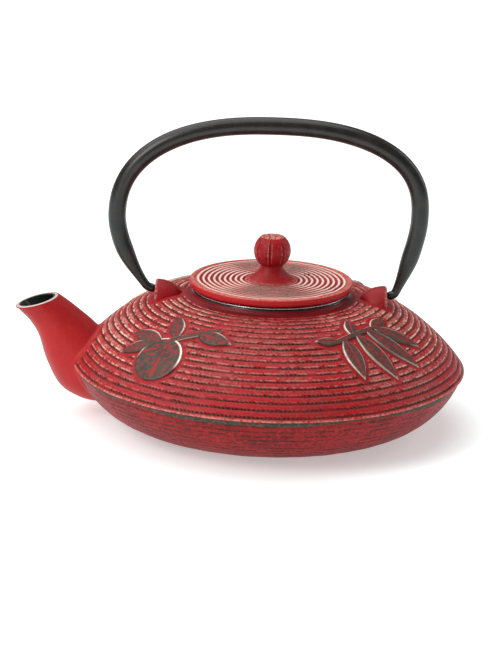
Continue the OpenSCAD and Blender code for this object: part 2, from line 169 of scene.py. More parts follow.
class Finish:
    # one material: its nodes come from add(), its surface from surface()
    def __init__(self, name):
        self.material = bpy.data.materials.new(name)
        self.material.use_nodes = True
        self.tree = self.material.node_tree
        self.tree.nodes.clear()

    def add(self, kind, settings, values, output=0):
        node = self.tree.nodes.new(kind)
        for key, value in settings.items():
            setattr(node, key, value)
        for key, value in values.items() if isinstance(values, dict) else enumerate(values):
            if isinstance(value, Signal):
                self.tree.links.new(value.socket, node.inputs[key])
            else:
                node.inputs[key].default_value = value
        return None if output is None else Signal(self, node.outputs[output])

    def place(self):
        return self.add("ShaderNodeTexCoord", {}, {}, "Object")

    def measure(self, name):
        # a number that the mesh holds at each point
        return self.add("ShaderNodeAttribute", {"attribute_name": name}, {}, "Fac")

    def mottle(self, wide, fine, grain):
        # the three noises of a painted casting: wide blotches, fine specks and its grain
        place = self.place()
        return (self.noise(place, wide, 2.0), self.noise(place, fine, 4.0, 0.65),
                self.noise(place, grain, 3.0, 0.6))

    def stretched(self, vector, scale):
        return self.add("ShaderNodeVectorMath", {"operation": "MULTIPLY"}, {0: vector, 1: scale})

    def noise(self, vector, size, detail=3.0, roughness=0.55):
        # size is the width of the blotches, in metres
        values = {"Vector": vector, "Scale": 1 / size, "Detail": detail, "Roughness": roughness}
        return self.add("ShaderNodeTexNoise", {}, values, 0)

    def spots(self, vector, size):
        return self.add("ShaderNodeTexVoronoi", {}, {"Vector": vector, "Scale": 1 / size}, "Distance")

    def mix(self, first, second, share):
        settings = {"data_type": "RGBA"}
        return self.add("ShaderNodeMix", settings, {0: share, 6: first, 7: second}, 2)

    def bump(self, height, depth, strength=0.8):
        # height is 0 to 1, depth is what 1 stands for, in metres
        return self.add("ShaderNodeBump", {}, {"Strength": strength, "Distance": depth, "Height": height})

    def surface(self, values):
        shader = self.add("ShaderNodeBsdfPrincipled", {}, values)
        self.add("ShaderNodeOutputMaterial", {}, {"Surface": shader}, None)
        return self.material


def tint(red, green, blue):
    # a colour given as it looks on a screen, 0 to 255, turned into the linear values that nodes take
    shares = np.array((red, green, blue)) / 255
    linear = np.where(shares > 0.04045, ((shares + 0.055) / 1.055) ** 2.4, shares / 12.92)
    return (*linear.tolist(), 1.0)


# the finishes; each is one material
lacquer = {
    "red": tint(172, 20, 28),
    "deepRed": tint(110, 6, 17),
    "paleRed": tint(196, 62, 54),
    "worn": tint(226, 150, 134),
    "patina": tint(62, 57, 43),
    "pit": tint(26, 26, 18),
    # pale lines on the ribs' lips: painted highlight and wear
    "paintedHighlightAndWear": tint(240, 196, 176),
    "roughness": 0.42,
    "grain": 0.95 * mm,      # width of the cast grain
    "grainDepth": 0.06 * mm,
    "blotch": 14 * mm,       # widths of the marks, from here down
    "fleck": 1.1 * mm,
    "dirt": 5 * mm,
    "stain": 0.9 * mm,
    "speckle": 1.3 * mm,
    "chip": 2.4 * mm,
    "pitDrift": 2.6 * mm,    # the pits wander sideways, and come and go, over these
    "pitPatch": 9 * mm,
}
gloss = {"Coat Weight": 0.03, "Coat Roughness": 0.3, "Specular IOR Level": 0.20}


def redLacquer(name, ribbed=False, wear=1.0, shade=0.35):
    # red, mottled by wide and fine noise; where the mesh says crest it is worn pale, and on the shoulder's
    # sides and beside the knob's creases painted highlight too; where it says groove it is darkened with
    # painted shade; ribbed adds slanting pits along the grooves, and shade is how deep the red is, painted
    # shade where it is raised for the collar and the lugs
    finish = Finish(name)
    place = finish.place()
    wide, fine, grain = finish.mottle(lacquer["blotch"], lacquer["fleck"], lacquer["grain"])
    crest = finish.measure("crest")
    groove = finish.measure("groove")
    edge = finish.measure("edge")
    # painted shade: a shade above 0.35 darkens the whole red, for the lugs and the collar under the lid
    colour = finish.mix(lacquer["red"], lacquer["deepRed"], wide.ramp(0.35, 0.75) * 0.3 + (shade - 0.15))
    colour = finish.mix(colour, lacquer["paleRed"], fine.ramp(0.52, 0.78) * 0.30 * wear)
    # worn pale crests; on the shoulder's sides and back this is painted sheen too, and on the knob painted
    # highlight lines beside the creases
    rubbed = crest * (fine + wide * 0.5).ramp(0.66, 0.94) * wear
    colour = finish.mix(colour, lacquer["worn"], rubbed * 0.8)
    colour = finish.mix(colour, lacquer["worn"], edge * fine.ramp(0.35, 0.6) * 0.75)
    # painted shade: the grooves are darkened with deep red
    colour = finish.mix(colour, lacquer["deepRed"], groove * 0.9)
    dirt = groove * finish.noise(place, lacquer["dirt"], 3.0).ramp(0.46, 0.62)
    colour = finish.mix(colour, lacquer["patina"], dirt * 0.4 * wear)
    stain = finish.noise(place, lacquer["stain"], 3.0, 0.7).ramp(0.54, 0.64) * wide.ramp(0.40, 0.60)
    colour = finish.mix(colour, lacquer["patina"], stain * finish.measure("stained") * 0.7)
    speckle = finish.noise(place, lacquer["speckle"], 3.0, 0.6)
    colour = finish.mix(colour, lacquer["pit"], speckle.ramp(0.57, 0.70) * 0.6 * wear)
    height = grain
    roughness = lacquer["roughness"] + fine * 0.22 - 0.08
    if ribbed:
        # on the mesh's own map, u counts the pits round the pot and v counts the ribs up it
        ribMap = finish.add("ShaderNodeUVMap", {"uv_map": "ribs"}, {})
        across, rise = (finish.add("ShaderNodeSeparateXYZ", {}, [ribMap], axis) for axis in ("X", "Y"))
        inRib = (rise + (fine - 0.5) * 0.10).part()
        dash = (across + inRib * 1.1 + finish.noise(place, lacquer["pitDrift"], 2.0) * 1.2).part()
        # a pit is a slanting dash that sits just above the foot of each rib
        strong = finish.noise(place, lacquer["pitPatch"], 2.0).ramp(0.30, 0.50) * finish.measure("open")
        pits = dash.awayFrom(0.5).ramp(0.36, 0.24) * inRib.awayFrom(0.13).ramp(0.22, 0.14) * strong
        colour = finish.mix(colour, lacquer["pit"], pits * 0.92)
        # painted highlight and chipped wear: a thin pale line just above the foot of each rib, scaled by
        # the painted sheen at the sides
        chipped = finish.noise(place, lacquer["chip"], 3.0).ramp(0.40, 0.58)
        paintedHighlightAndWear = inRib.awayFrom(0.32).ramp(0.15, 0.04) * chipped * finish.measure("open")
        colour = finish.mix(colour, lacquer["paintedHighlightAndWear"], paintedHighlightAndWear * finish.measure("paintedSheenAndWear"))
        height = height * 0.35 + (1 - pits) * 0.65
        roughness = roughness + pits * 0.3
    depth = lacquer["grainDepth"] * (8.0 if ribbed else 3.0)
    return finish.surface({
        "Base Color": colour, "Roughness": roughness, "Normal": finish.bump(height, depth),
        **gloss,
    })


bronze = {
    "dark": tint(52, 46, 38),
    "brown": tint(112, 52, 45),
    "green": tint(66, 58, 46),
    "paintedHighlightAndWear": tint(240, 230, 214),
    "red": tint(156, 24, 30),
    "blotch": 6 * mm,        # widths of the marks
    "fleck": 0.9 * mm,
    "redFleck": 1.8 * mm,
    "grain": 1.0 * mm,
    "grainDepth": 0.25 * mm,
}


def wornBronze():
    # dark greenish brown, blotched; red left in the hollows; painted highlight on the raised edges that
    # face up the shoulder, painted shade on the others, and a little wear on all
    finish = Finish("wornBronze")
    place = finish.place()
    wide = finish.noise(place, bronze["blotch"], 3.0)
    fine = finish.noise(place, bronze["fleck"], 4.0, 0.7)
    edge = finish.measure("edge")
    colour = finish.mix(bronze["dark"], bronze["green"], wide.ramp(0.40, 0.62))
    colour = finish.mix(colour, bronze["brown"], fine.ramp(0.50, 0.72) * 0.7)
    colour = finish.mix(colour, bronze["red"], finish.measure("groove") * 0.85)
    specks = finish.noise(place, bronze["redFleck"], 3.0).ramp(0.50, 0.60) * fine.ramp(0.42, 0.56)
    colour = finish.mix(colour, bronze["red"], specks * 0.75)
    # painted light: lit marks the side of each part that faces up the shoulder
    top = finish.measure("lit")
    colour = finish.mix(colour, lacquer["pit"], edge * (1 - top) * 0.9)
    rubbed = edge * (0.06 + top * 1.1) * fine.ramp(0.26, 0.46)
    colour = finish.mix(colour, bronze["paintedHighlightAndWear"], rubbed)
    roughness = 0.52 - edge * 0.15 + fine * 0.15
    metallic = 0.25 + edge * 0.35
    height = finish.noise(place, bronze["grain"], 4.0, 0.65)
    return finish.surface({
        "Base Color": colour, "Roughness": roughness, "Metallic": metallic,
        "Normal": finish.bump(height, bronze["grainDepth"]),
    })


enamel = {
    "black": tint(26, 29, 26),
    "grey": tint(48, 52, 46),
    "peel": 2.2 * mm,        # width of the orange peel
    "pore": 2.6 * mm,        # spacing of the pores
}


def blackEnamel():
    # near black and glossy, with a slight orange peel and a few dull pores
    finish = Finish("blackEnamel")
    place = finish.place()
    peel = finish.noise(place, enamel["peel"], 2.0)
    pores = finish.spots(place, enamel["pore"]).ramp(0.16, 0.08)
    colour = finish.mix(enamel["black"], enamel["grey"], finish.noise(place, 9 * mm).ramp(0.45, 0.7))
    return finish.surface({
        "Base Color": colour, "Roughness": 0.20 + pores * 0.3,
        "Normal": finish.bump(peel - pores * 0.4, 0.10 * mm, 0.5),
    })


barIron = {
    "black": tint(12, 10, 9),
    "rubbed": tint(38, 32, 28),
    "hammer": 7 * mm,        # width of the hammer marks
    "grain": 0.6 * mm,
}


def blackIron():
    # satin black over a faintly hammered bar, greyer where hands rub it
    finish = Finish("blackIron")
    place = finish.place()
    hammered = finish.noise(place, barIron["hammer"], 2.0)
    fine = finish.noise(place, barIron["grain"], 4.0, 0.6)
    rubbed = (hammered * 0.5 + fine * 0.5).ramp(0.42, 0.66)
    return finish.surface({
        "Base Color": finish.mix(barIron["black"], barIron["rubbed"], rubbed),
        "Roughness": 0.22 + fine * 0.16, "Specular IOR Level": 0.5,
        "Normal": finish.bump(hammered * 0.7 + fine * 0.3, 0.12 * mm, 0.7),
    })


def steel(name, grey, rough, stretch):
    # bright steel with fine brushing along one way, and slight staining
    finish = Finish(name)
    place = finish.place()
    brushed = finish.noise(finish.stretched(place, stretch), 0.5 * mm, 3.0, 0.6)
    stain = finish.noise(place, 8 * mm, 3.0).ramp(0.45, 0.75)
    colour = finish.mix(tint(grey, grey, grey + 2), tint(grey - 34, grey - 36, grey - 40), stain)
    return finish.surface({
        "Base Color": colour, "Metallic": 1.0, "Roughness": rough + brushed * 0.18,
        "Normal": finish.bump(brushed, 0.01 * mm, 0.5),
    })


finishes = {
    "shoulder": redLacquer("shoulderLacquer", ribbed=True),
    # painted shade: the lugs and the collar get a larger shade and are painted darker
    "plain": redLacquer("plainLacquer", wear=0.45, shade=0.6),
    "collar": redLacquer("collarLacquer", wear=0.2, shade=0.95),
    "knob": redLacquer("knobLacquer", wear=1.3),
    "bronze": wornBronze(),
    "enamel": blackEnamel(),
    "iron": blackIron(),
    "sheet": steel("drawnSteel", 225, 0.18, (1.0, 1.0, 6.0)),
    "wire": steel("wireSteel", 190, 0.28, (1.0, 1.0, 1.0)),
    "rivet": steel("rivetSteel", 170, 0.35, (1.0, 1.0, 1.0)),
}
print("stage: finishes made")


def gridFaces(rows, columns, closeRows=False):
    # quads between neighbours of a grid whose columns run all the way round; rows may be joined up too
    i = np.arange(rows if closeRows else rows - 1)[:, None]
    j = np.arange(columns)[None, :]
    here, above = i * columns, (i + 1) % rows * columns
    right = (j + 1) % columns
    return np.stack([here + j, here + right, above + right, above + j], -1).reshape(-1, 4)


def skin(rings, closeRows=False):
    # a grid of points as the points and faces of a closed mesh
    return rings.reshape(-1, 3), gridFaces(*rings.shape[:2], closeRows)


def joined(skins):
    # several (points, faces) as one
    starts = np.cumsum([0] + [len(points) for points, _ in skins])
    faces = [quads + start for (_, quads), start in zip(skins, starts)]
    return np.concatenate([points for points, _ in skins]), np.concatenate(faces)


def enclosed(points, faces):
    # signed volume of a closed mesh: the sum of each face's fan of tetrahedra from the origin
    a, b, c, d = (points[faces[:, k]] for k in range(4))
    return (np.einsum("ij,ij->i", a, np.cross(b, c)) + np.einsum("ij,ij->i", a, np.cross(c, d))).sum() / 6


def makePiece(name, shape, body, finish, replaces, measures={}, corners=None, sharp=50):
    # puts points and faces into a mesh, merges poles and doubles, and says what the piece is
    points, faces = shape
    if enclosed(points, faces) < 0:
        faces = faces[:, ::-1]
        corners = None if corners is None else corners[:, ::-1]
    mesh = bpy.data.meshes.new(name)
    mesh.vertices.add(len(points))
    mesh.vertices.foreach_set("co", points.astype(np.float32).ravel())
    mesh.loops.add(faces.size)
    mesh.loops.foreach_set("vertex_index", faces.astype(np.int32).ravel())
    mesh.polygons.add(len(faces))
    mesh.polygons.foreach_set("loop_start", np.arange(0, faces.size, 4, dtype=np.int32))
    mesh.update(calc_edges=True)
    for key, values in measures.items():
        layer = mesh.attributes.new(key, "FLOAT", "POINT")
        layer.data.foreach_set("value", np.asarray(values, np.float32).ravel())
    if corners is not None:
        layer = mesh.uv_layers.new(name="ribs")
        layer.data.foreach_set("uv", corners.astype(np.float32).ravel())
    work = bmesh.new()
    work.from_mesh(mesh)
    bmesh.ops.remove_doubles(work, verts=work.verts, dist=1e-7)
    bmesh.ops.dissolve_degenerate(work, edges=work.edges, dist=1e-8)
    work.to_mesh(mesh)
    work.free()
    mesh.validate()
    mesh.shade_smooth()
    mesh.set_sharp_from_angle(angle=math.radians(sharp))
    mesh.materials.append(finish)
    piece = bpy.data.objects.new(name, mesh)
    bpy.context.scene.collection.objects.link(piece)
    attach(piece, body)
    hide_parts(*replaces)
    return piece


def drill(piece, radius, depth, sides, place):
    # cuts a round hole in a piece, along the Z axis of place
    bit = bpy.data.objects.new("bit", bpy.data.meshes.new("bit"))
    bpy.context.scene.collection.objects.link(bit)
    work = bmesh.new()
    bmesh.ops.create_cone(work, cap_ends=True, segments=sides, radius1=radius, radius2=radius,
                          depth=depth, matrix=place)
    work.to_mesh(bit.data)
    work.free()
    cut = piece.modifiers.new("hole", "BOOLEAN")
    cut.object = bit
    cut.solver = "EXACT"
    graph = bpy.context.evaluated_depsgraph_get()
    made = bpy.data.meshes.new_from_object(piece.evaluated_get(graph), depsgraph=graph)
    piece.modifiers.clear()
    piece.data = made
    bpy.data.objects.remove(bit)


def rounded(corners, closed=True, steps=4):
    # a line through corners (r, z, rounding); each corner becomes a short curve that starts and ends
    # the rounding's length away from it, never past the middle of the side
    points = [Vector(c[:2]) for c in corners]
    line = []
    count = len(points)
    for k, (point, corner) in enumerate(zip(points, corners)):
        if corner[2] == 0 or (not closed and k in (0, count - 1)):
            line.append(tuple(point))
            continue
        before, after = points[k - 1] - point, points[(k + 1) % count] - point
        start = point + before.normalized() * min(corner[2], before.length * 0.49)
        end = point + after.normalized() * min(corner[2], after.length * 0.49)
        for t in np.linspace(0, 1, steps + 1):
            line.append(tuple(start * (1 - t) ** 2 + point * 2 * t * (1 - t) + end * t * t))
    return np.array(line)


def around(count):
    # that many angles, evenly round a whole turn
    return np.arange(count) / count * turn


def lathe(line, columns):
    # the line (r, z) turned about the upright axis: x = r cos a, y = r sin a
    angles = around(columns)
    r, z = line[:, 0][:, None], line[:, 1][:, None]
    return np.stack([r * np.cos(angles), r * np.sin(angles), z + 0 * angles], -1)


def arcAlong(line):
    # how far along the line each of its points lies: the sum of the steps before it
    return np.concatenate([[0], np.cumsum(np.hypot(*np.diff(line, axis=0).T))])


def sampled(line, spacing):
    # the line cut into steps of about one spacing
    steps = arcAlong(line)
    wanted = np.linspace(0, steps[-1], max(2, int(round(steps[-1] / spacing)) + 1))
    return np.stack([np.interp(wanted, steps, line[:, k]) for k in (0, 1)], -1)


def sideOf(line):
    # unit normals to the right of a line's travel
    along = np.gradient(line, axis=0)
    along /= np.linalg.norm(along, axis=1)[:, None]
    return np.stack([along[:, 1], -along[:, 0]], -1)


def smoothStep(values, low, high):
    t = np.clip((values - low) / (high - low), 0, 1)
    return t * t * (3 - 2 * t)


def wavy(angles, heights, seed, waves=9, highest=14):
    # a slow random ripple: a sum of sines round the pot and up it, between about -1 and 1
    chance = np.random.default_rng(seed)
    total = 0
    for k in range(waves):
        around = chance.integers(1, highest)
        up = chance.uniform(-60, 60)
        total = total + np.sin(around * angles + up * heights + chance.uniform(0, turn)) / waves ** 0.5
    return total


pot = {
    "bellyRadius": shellHigh.x,
    "bellyHeight": 24.6 * mm,
    "shoulderHeight": 53.6 * mm,
    "shoulderRadius": 40.2 * mm,
    "footRadius": 45.5 * mm,
    "footHeight": 0.9 * mm,
    "wall": 3.2 * mm,
    "floor": 3.6 * mm,
    "ledge": 0.9 * mm,
    "enamel": 0.4 * mm,
    "mouthRadius": 30.4 * mm,
    "collarRadius": 35.4 * mm,
    "lipRadius": 33.2 * mm,
    "lipHeight": collarHigh.z,
    "lowerBow": 1.34,        # powers that bend the two walls; see the curves below
    "lowerFull": 2.5,
    "upperBow": 1.1,
    "upperFull": 1.63,
}


def lowerCurve(r0, z0, r1, z1, steps=60):
    # from the foot to the belly: r rises as (1 - (1 - s)^bow)^(1/full), z evenly with s
    s = np.linspace(0, 1, steps) ** 1.8
    r = r0 + (r1 - r0) * (1 - (1 - s) ** pot["lowerBow"]) ** (1 / pot["lowerFull"])
    return np.stack([r, z0 + (z1 - z0) * s], -1)


def upperCurve(r1, z1, r2, z2, steps=400):
    # from the belly to the collar: r falls as (1 - s^bow)^(1/full), z evenly with s
    s = 1 - (1 - np.linspace(0, 1, steps)) ** 1.7
    r = r2 + (r1 - r2) * (1 - s ** pot["upperBow"]) ** (1 / pot["upperFull"])
    return np.stack([r, z1 + (z2 - z1) * s], -1)


def lowerLine(steps=60):
    # the outside from the foot up to the ledge
    return lowerCurve(pot["footRadius"] + 1.5 * mm, pot["footHeight"],
                      pot["bellyRadius"] - pot["ledge"], pot["bellyHeight"] - 0.3 * mm, steps)


def cavityLine(depth, steps=40):
    # the inside of the pot, floor to mouth, drawn in by depth
    inner = pot["bellyRadius"] - pot["wall"] - depth
    under = pot["shoulderHeight"] - pot["wall"] - depth
    low = pot["floor"] + depth
    belly = pot["bellyHeight"]
    return np.concatenate([
        [[0, low]],
        lowerCurve(pot["footRadius"] - 2.5 * mm - depth, low, inner, belly, steps),
        upperCurve(inner, belly + 0.6 * mm, pot["shoulderRadius"] - 3 * mm - depth, under, steps),
        [[pot["mouthRadius"] + pot["enamel"] - depth, under]],
    ])


shoulderTop = pot["shoulderHeight"] + 0.2 * mm
shoulderLine = np.concatenate([
    upperCurve(pot["bellyRadius"], pot["bellyHeight"], pot["shoulderRadius"], pot["shoulderHeight"]),
    [[pot["collarRadius"], shoulderTop]],
])
shoulderFalling = shoulderLine[::-1]


def onShoulder(points):
    # height of the shoulder above or below each point, which is positive when the point is outside
    r = np.hypot(points[..., 0], points[..., 1])
    level = np.interp(r, shoulderFalling[:, 0], shoulderFalling[:, 1])
    past = np.maximum(0, r - pot["bellyRadius"])
    return points[..., 2] - level + 5 * past


# outlines of the reliefs, in millimetres, +Y up the shoulder
def leafShape(place, heading, length, width):
    return {"kind": "leaf", "place": place, "heading": heading, "length": length, "width": width}


def twigShape(start, end, width):
    way = math.degrees(math.atan2(end[1] - start[1], end[0] - start[0]))
    length = math.hypot(end[0] - start[0], end[1] - start[1])
    return {"kind": "twig", "place": start, "heading": way, "length": length, "width": width}


reliefs = {
    "fruit": {
        "turn": -131,
        "parts": [
            {"kind": "fruit", "place": (0.5, -7.5), "heading": 0, "length": 10.5, "width": 21},
            twigShape((-1, 1), (17, 15), 2.6),
            leafShape((9, 9), 4, 16, 7),
            leafShape((2, 4), 128, 15, 6.5),
            leafShape((-3, 0), 172, 19, 7.5),
            leafShape((-7, -1), 208, 16, 6),
        ],
    },
    "leaf": {
        "turn": -48,
        "parts": [
            twigShape((-14, 8), (9, 11), 2.4),
            leafShape((-12, 8), 158, 10, 4.5),
            leafShape((8, 11), 20, 13, 5.5),
            leafShape((-4, 9), 62, 11, 5),
            leafShape((-9, 9), -98, 21, 7.5),
            leafShape((-2, 10), -78, 26, 8),
            leafShape((4, 11), -57, 27, 8),
            leafShape((9, 11), -34, 22, 7),
        ],
    },
}
relief = {
    "height": 0.945 * mm,    # above the shoulder
    "slope": 40,             # degrees that the plane they are drawn on leans back
    "radius": (pot["bellyRadius"] + pot["shoulderRadius"]) / 2 + 1 * mm,
    "level": pot["bellyHeight"] + (pot["shoulderHeight"] - pot["bellyHeight"]) * 0.69,
    "margin": 1.3 * mm,      # the ribs stop this far from a relief
    "fade": 1.1 * mm,
}


def reliefFrame(direction):
    # origin, right, up and outward of the plane that a relief is drawn on
    a = math.radians(direction)
    out = np.array((math.cos(a), math.sin(a), 0))
    right = np.array((-math.sin(a), math.cos(a), 0))
    tilt = math.radians(relief["slope"])
    up = -out * math.cos(tilt) + np.array((0, 0, math.sin(tilt)))
    normal = out * math.sin(tilt) + np.array((0, 0, math.cos(tilt)))
    origin = out * relief["radius"] + np.array((0, 0, relief["level"]))
    return origin, right, up, normal


def halfWidth(part, t):
    # half the width of a leaf or a twig at t, from 0 at its root to 1 at its tip
    if part["kind"] == "leaf":
        return part["width"] / 2 * np.sin(math.pi * np.clip(t, 0, 1) ** 0.85)
    return part["width"] / 2 * np.clip(1 - np.abs(2 * t - 1) ** 14, 0, 1) ** 0.5


def nearness(x, y, part):
    # about how far a point of the plane is outside a part, in millimetres
    a = math.radians(part["heading"])
    dx, dy = x - part["place"][0], y - part["place"][1]
    if part["kind"] == "fruit":
        return np.hypot(dx, dy) - part["length"]
    along = dx * math.cos(a) + dy * math.sin(a)
    across = np.abs(-dx * math.sin(a) + dy * math.cos(a))
    half = halfWidth(part, along / part["length"])
    past = np.maximum(0, np.maximum(-along, along - part["length"]))
    return np.hypot(np.maximum(0, across - half), past) - (past == 0) * (across < half)


def clearOfReliefs(points):
    # distance from each point of the shoulder to the nearest relief, in metres
    nearest = np.full(points.shape[:-1], 1.0)
    for shape in reliefs.values():
        for half in (0, 180):
            origin, right, up, normal = reliefFrame(shape["turn"] + half)
            offset = points - origin
            x, y = offset @ right / mm, offset @ up / mm
            facing = offset @ normal > -20 * mm
            for part in shape["parts"]:
                away = np.where(facing, nearness(x, y, part), 1000) * mm
                nearest = np.minimum(nearest, away)
    return nearest


spout = {
    # out from the belly, above the belly's line, tilt in degrees, half length along it, half width
    "stations": np.array([
        [-20.5, -6.6, 88, 12.5, 13],
        [-12.4, -5.5, 80, 14, 16],
        [-7.5, -3.1, 68, 15.3, 16.5],
        [-2.3, 0.1, 57, 14.9, 15],
        [2.4, 7.1, 45, 12.8, 12.2],
        [6.2, 14.1, 33, 10.2, 10],
        [10.2, 18.9, 25, 9.3, 9.3],
        [13.3, 21.6, 20, 9.3, 9.3],
        [15.7, 23.6, 15.5, 9.35, 9.35]]),
    "wall": 2.5,
    "rimRound": 0.7,
    "fillet": 1.6 * mm,
    "sides": 128,
    "steps": 12,
    "flecked": tint(168, 44, 40),
    "bareIron": tint(206, 202, 194),
    "enamel": tint(30, 33, 30),
}


def smoothRows(stations, steps):
    # a curve through the stations: each stretch is the cubic of its four neighbours
    count = len(stations)
    k = np.repeat(np.arange(count - 1), steps)
    u = np.tile(np.arange(steps) / steps, count - 1)[:, None]
    a, b, c, d = (stations[np.clip(k + n, 0, count - 1)] for n in (-1, 0, 1, 2))
    bend = 2 * a - 5 * b + 4 * c - d
    twist = 3 * b - a - 3 * c + d
    rows = 0.5 * (2 * b + (c - a) * u + bend * u ** 2 + twist * u ** 3)
    return np.concatenate([rows, stations[-1:]])


def spoutRings(rows, inset, lift=0.0):
    # each row is an ellipse across the spout, drawn in by inset and lifted along its own axis
    angles = around(spout["sides"])
    out, up, tilt, length, width = rows.T[:, :, None]
    tilt = np.radians(tilt)
    inset, lift = (np.broadcast_to(value, len(rows))[:, None] for value in (inset, lift))
    along = (length - inset) * np.cos(angles)
    across = (width - inset) * np.sin(angles)
    x = -out + along * np.cos(tilt) - lift * np.sin(tilt)
    z = up + along * np.sin(tilt) + lift * np.cos(tilt)
    rings = np.stack([x, across, z], -1) * mm
    return rings + np.array((-pot["bellyRadius"], 0, pot["bellyHeight"]))


def outsidePot(points):
    # rough distance outside the pot's surface: the gap in radius at the point's height, less where
    # the wall leans
    r = np.hypot(points[..., 0], points[..., 1])
    z = points[..., 2]
    high, low = shoulderLine[:-1], lowerLine()
    upper = np.interp(z, high[:, 1], high[:, 0])
    lower = np.interp(z, low[:, 1], low[:, 0])
    isUpper = z > pot["bellyHeight"]
    step = 0.2 * mm
    slope = np.where(isUpper, np.interp(z + step, high[:, 1], high[:, 0]) - upper,
                     lower - np.interp(z - step, low[:, 1], low[:, 0])) / step
    return (r - np.where(isUpper, upper, lower)) / np.sqrt(1 + np.minimum(slope ** 2, 9))


def spoutSurface():
    rows = smoothRows(spout["stations"], spout["steps"])
    outer = spoutRings(rows, 0.0)
    centres = outer.mean(1, keepdims=True)
    away = outer - centres
    away /= np.linalg.norm(away, axis=-1, keepdims=True)
    gap = np.clip(outsidePot(outer), 0, spout["fillet"])
    flare = spout["fillet"] - np.sqrt(np.maximum(0, spout["fillet"] ** 2 - (spout["fillet"] - gap) ** 2))
    return rows, outer, outer + away * flare[..., None]


def makeSpout():
    rows, plainOuter, outer = spoutSurface()
    last = np.repeat(rows[-1:], 7, 0)
    # over the rim: round the outer edge, cross the flat, round the inner edge
    bend = np.linspace(0, math.pi / 2, 4)[1:]
    edge = spout["rimRound"]
    insets = np.concatenate([edge * (1 - np.cos(bend)), [spout["wall"] / 2],
                             spout["wall"] - edge * (1 - np.cos(bend[::-1]))])
    lifts = np.concatenate([edge * np.sin(bend) - edge, [0], edge * np.sin(bend[::-1]) - edge])
    rim = spoutRings(last, insets, lifts)
    outer[-1] = spoutRings(last[:1], 0.0, -edge)[0]
    inner = spoutRings(rows[::-1], spout["wall"], np.where(np.arange(len(rows)) == 0, -edge, 0))
    rings = np.concatenate([outer, rim, inner])
    bare = np.zeros(rings.shape[:2])
    bare[len(outer) + 1:len(outer) + 4] = 1
    inside = np.zeros(rings.shape[:2])
    inside[len(outer) + 4:] = 1
    makePiece("potSpout", skin(rings, closeRows=True), "pot", spoutFinish(), ["spout"],
              {"bare": bare, "inside": inside})


def spoutFinish():
    # the plain red lacquer outside, bare pale iron on the rim, black enamel inside
    finish = Finish("spoutLacquer")
    wide, fine, grain = finish.mottle(12 * mm, 1.1 * mm, lacquer["grain"])
    bare = finish.measure("bare").ramp(0.35, 0.75)
    inside = finish.measure("inside").ramp(0.35, 0.65)
    colour = finish.mix(lacquer["red"], lacquer["deepRed"], wide.ramp(0.45, 0.75) * 0.3)
    colour = finish.mix(colour, spout["flecked"], fine.ramp(0.40, 0.70) * 0.4 + 0.2)
    colour = finish.mix(colour, spout["bareIron"], bare * fine.ramp(0.15, 0.35))
    colour = finish.mix(colour, spout["enamel"], inside)
    roughness = lacquer["roughness"] + fine * 0.2 - 0.08 - inside * 0.2
    return finish.surface({
        "Base Color": colour, "Roughness": roughness, "Metallic": bare * 0.4,
        "Normal": finish.bump(grain, lacquer["grainDepth"] * 1.6),
        **gloss,
    })


ribs = {
    "first": 1.3 * mm,       # arc from the ledge to the first groove
    "pitch": 3.17 * mm,
    "depth": 0.42 * mm,
    "dash": 1.75 * mm,       # spacing of the slanting pits
    "columns": 800,
    "rowStep": 0.54 * mm,
    "drift": 0.06,           # how far the ribs wander, as a share of the pitch
    "unevenness": 0.05 * mm,
    "lugMargin": 2.2 * mm,   # the ribs stop this far from the lugs, and from the spout
    "spoutMargin": 1.6 * mm,
    "fade": 1.2 * mm,        # and reach their depth over this much more
    "start": (0.6 * mm, 1.3 * mm),    # arcs from the ledge between which the ribs come in
    "end": (57.2 * mm, 55.5 * mm),    # and between which they die out below the collar
}
insideStep = 6 * mm          # spacing of the grid inside the pot


def clearOfSpout(points):
    # distance from points near the spout's root to its surface, and a metre for all others
    rows, rings, _ = spoutSurface()
    cloud = rings[::3, ::4].reshape(-1, 3)
    cloud = cloud[np.abs(outsidePot(cloud)) < 6 * mm]
    away = np.full(points.shape[:-1], 1.0)
    near = points[..., 0] < -55 * mm
    spots = points[near]
    away[near] = np.sqrt(((spots[:, None, :] - cloud[None]) ** 2).sum(-1)).min(1)
    return away


def clearOfLugs(points):
    # how far points lie outside the lugs' feet, taken as half ellipses on the shoulder
    away = np.full(points.shape[:-1], 1.0)
    for sign in (-1, 1):
        x = (lug["faceAt"] - points[..., 0] * sign) / lug["length"]
        shape = np.hypot(np.clip(x, 0, None), points[..., 1] / lug["radius"])
        beyond = np.maximum(0, points[..., 0] * sign - lug["faceAt"])
        sideways = np.maximum(0, np.abs(points[..., 1]) - lug["radius"] * 0.95)
        gap = np.where(x >= 0, (shape - 0.95) * lug["radius"], np.hypot(beyond, sideways))
        away = np.minimum(away, np.where(points[..., 0] * sign > 20 * mm, gap, 1.0))
    return away


lug = {
    "faceAt": 48.5 * mm,
    "length": 12.4 * mm,
    "radius": 9.3 * mm,
    "level": 49.5 * mm,
    "pinLevel": 55.0 * mm,
    "holeRadius": 1.48 * mm,
    "holeDepth": 7.5 * mm,
    "edgeRound": 0.9 * mm,
}


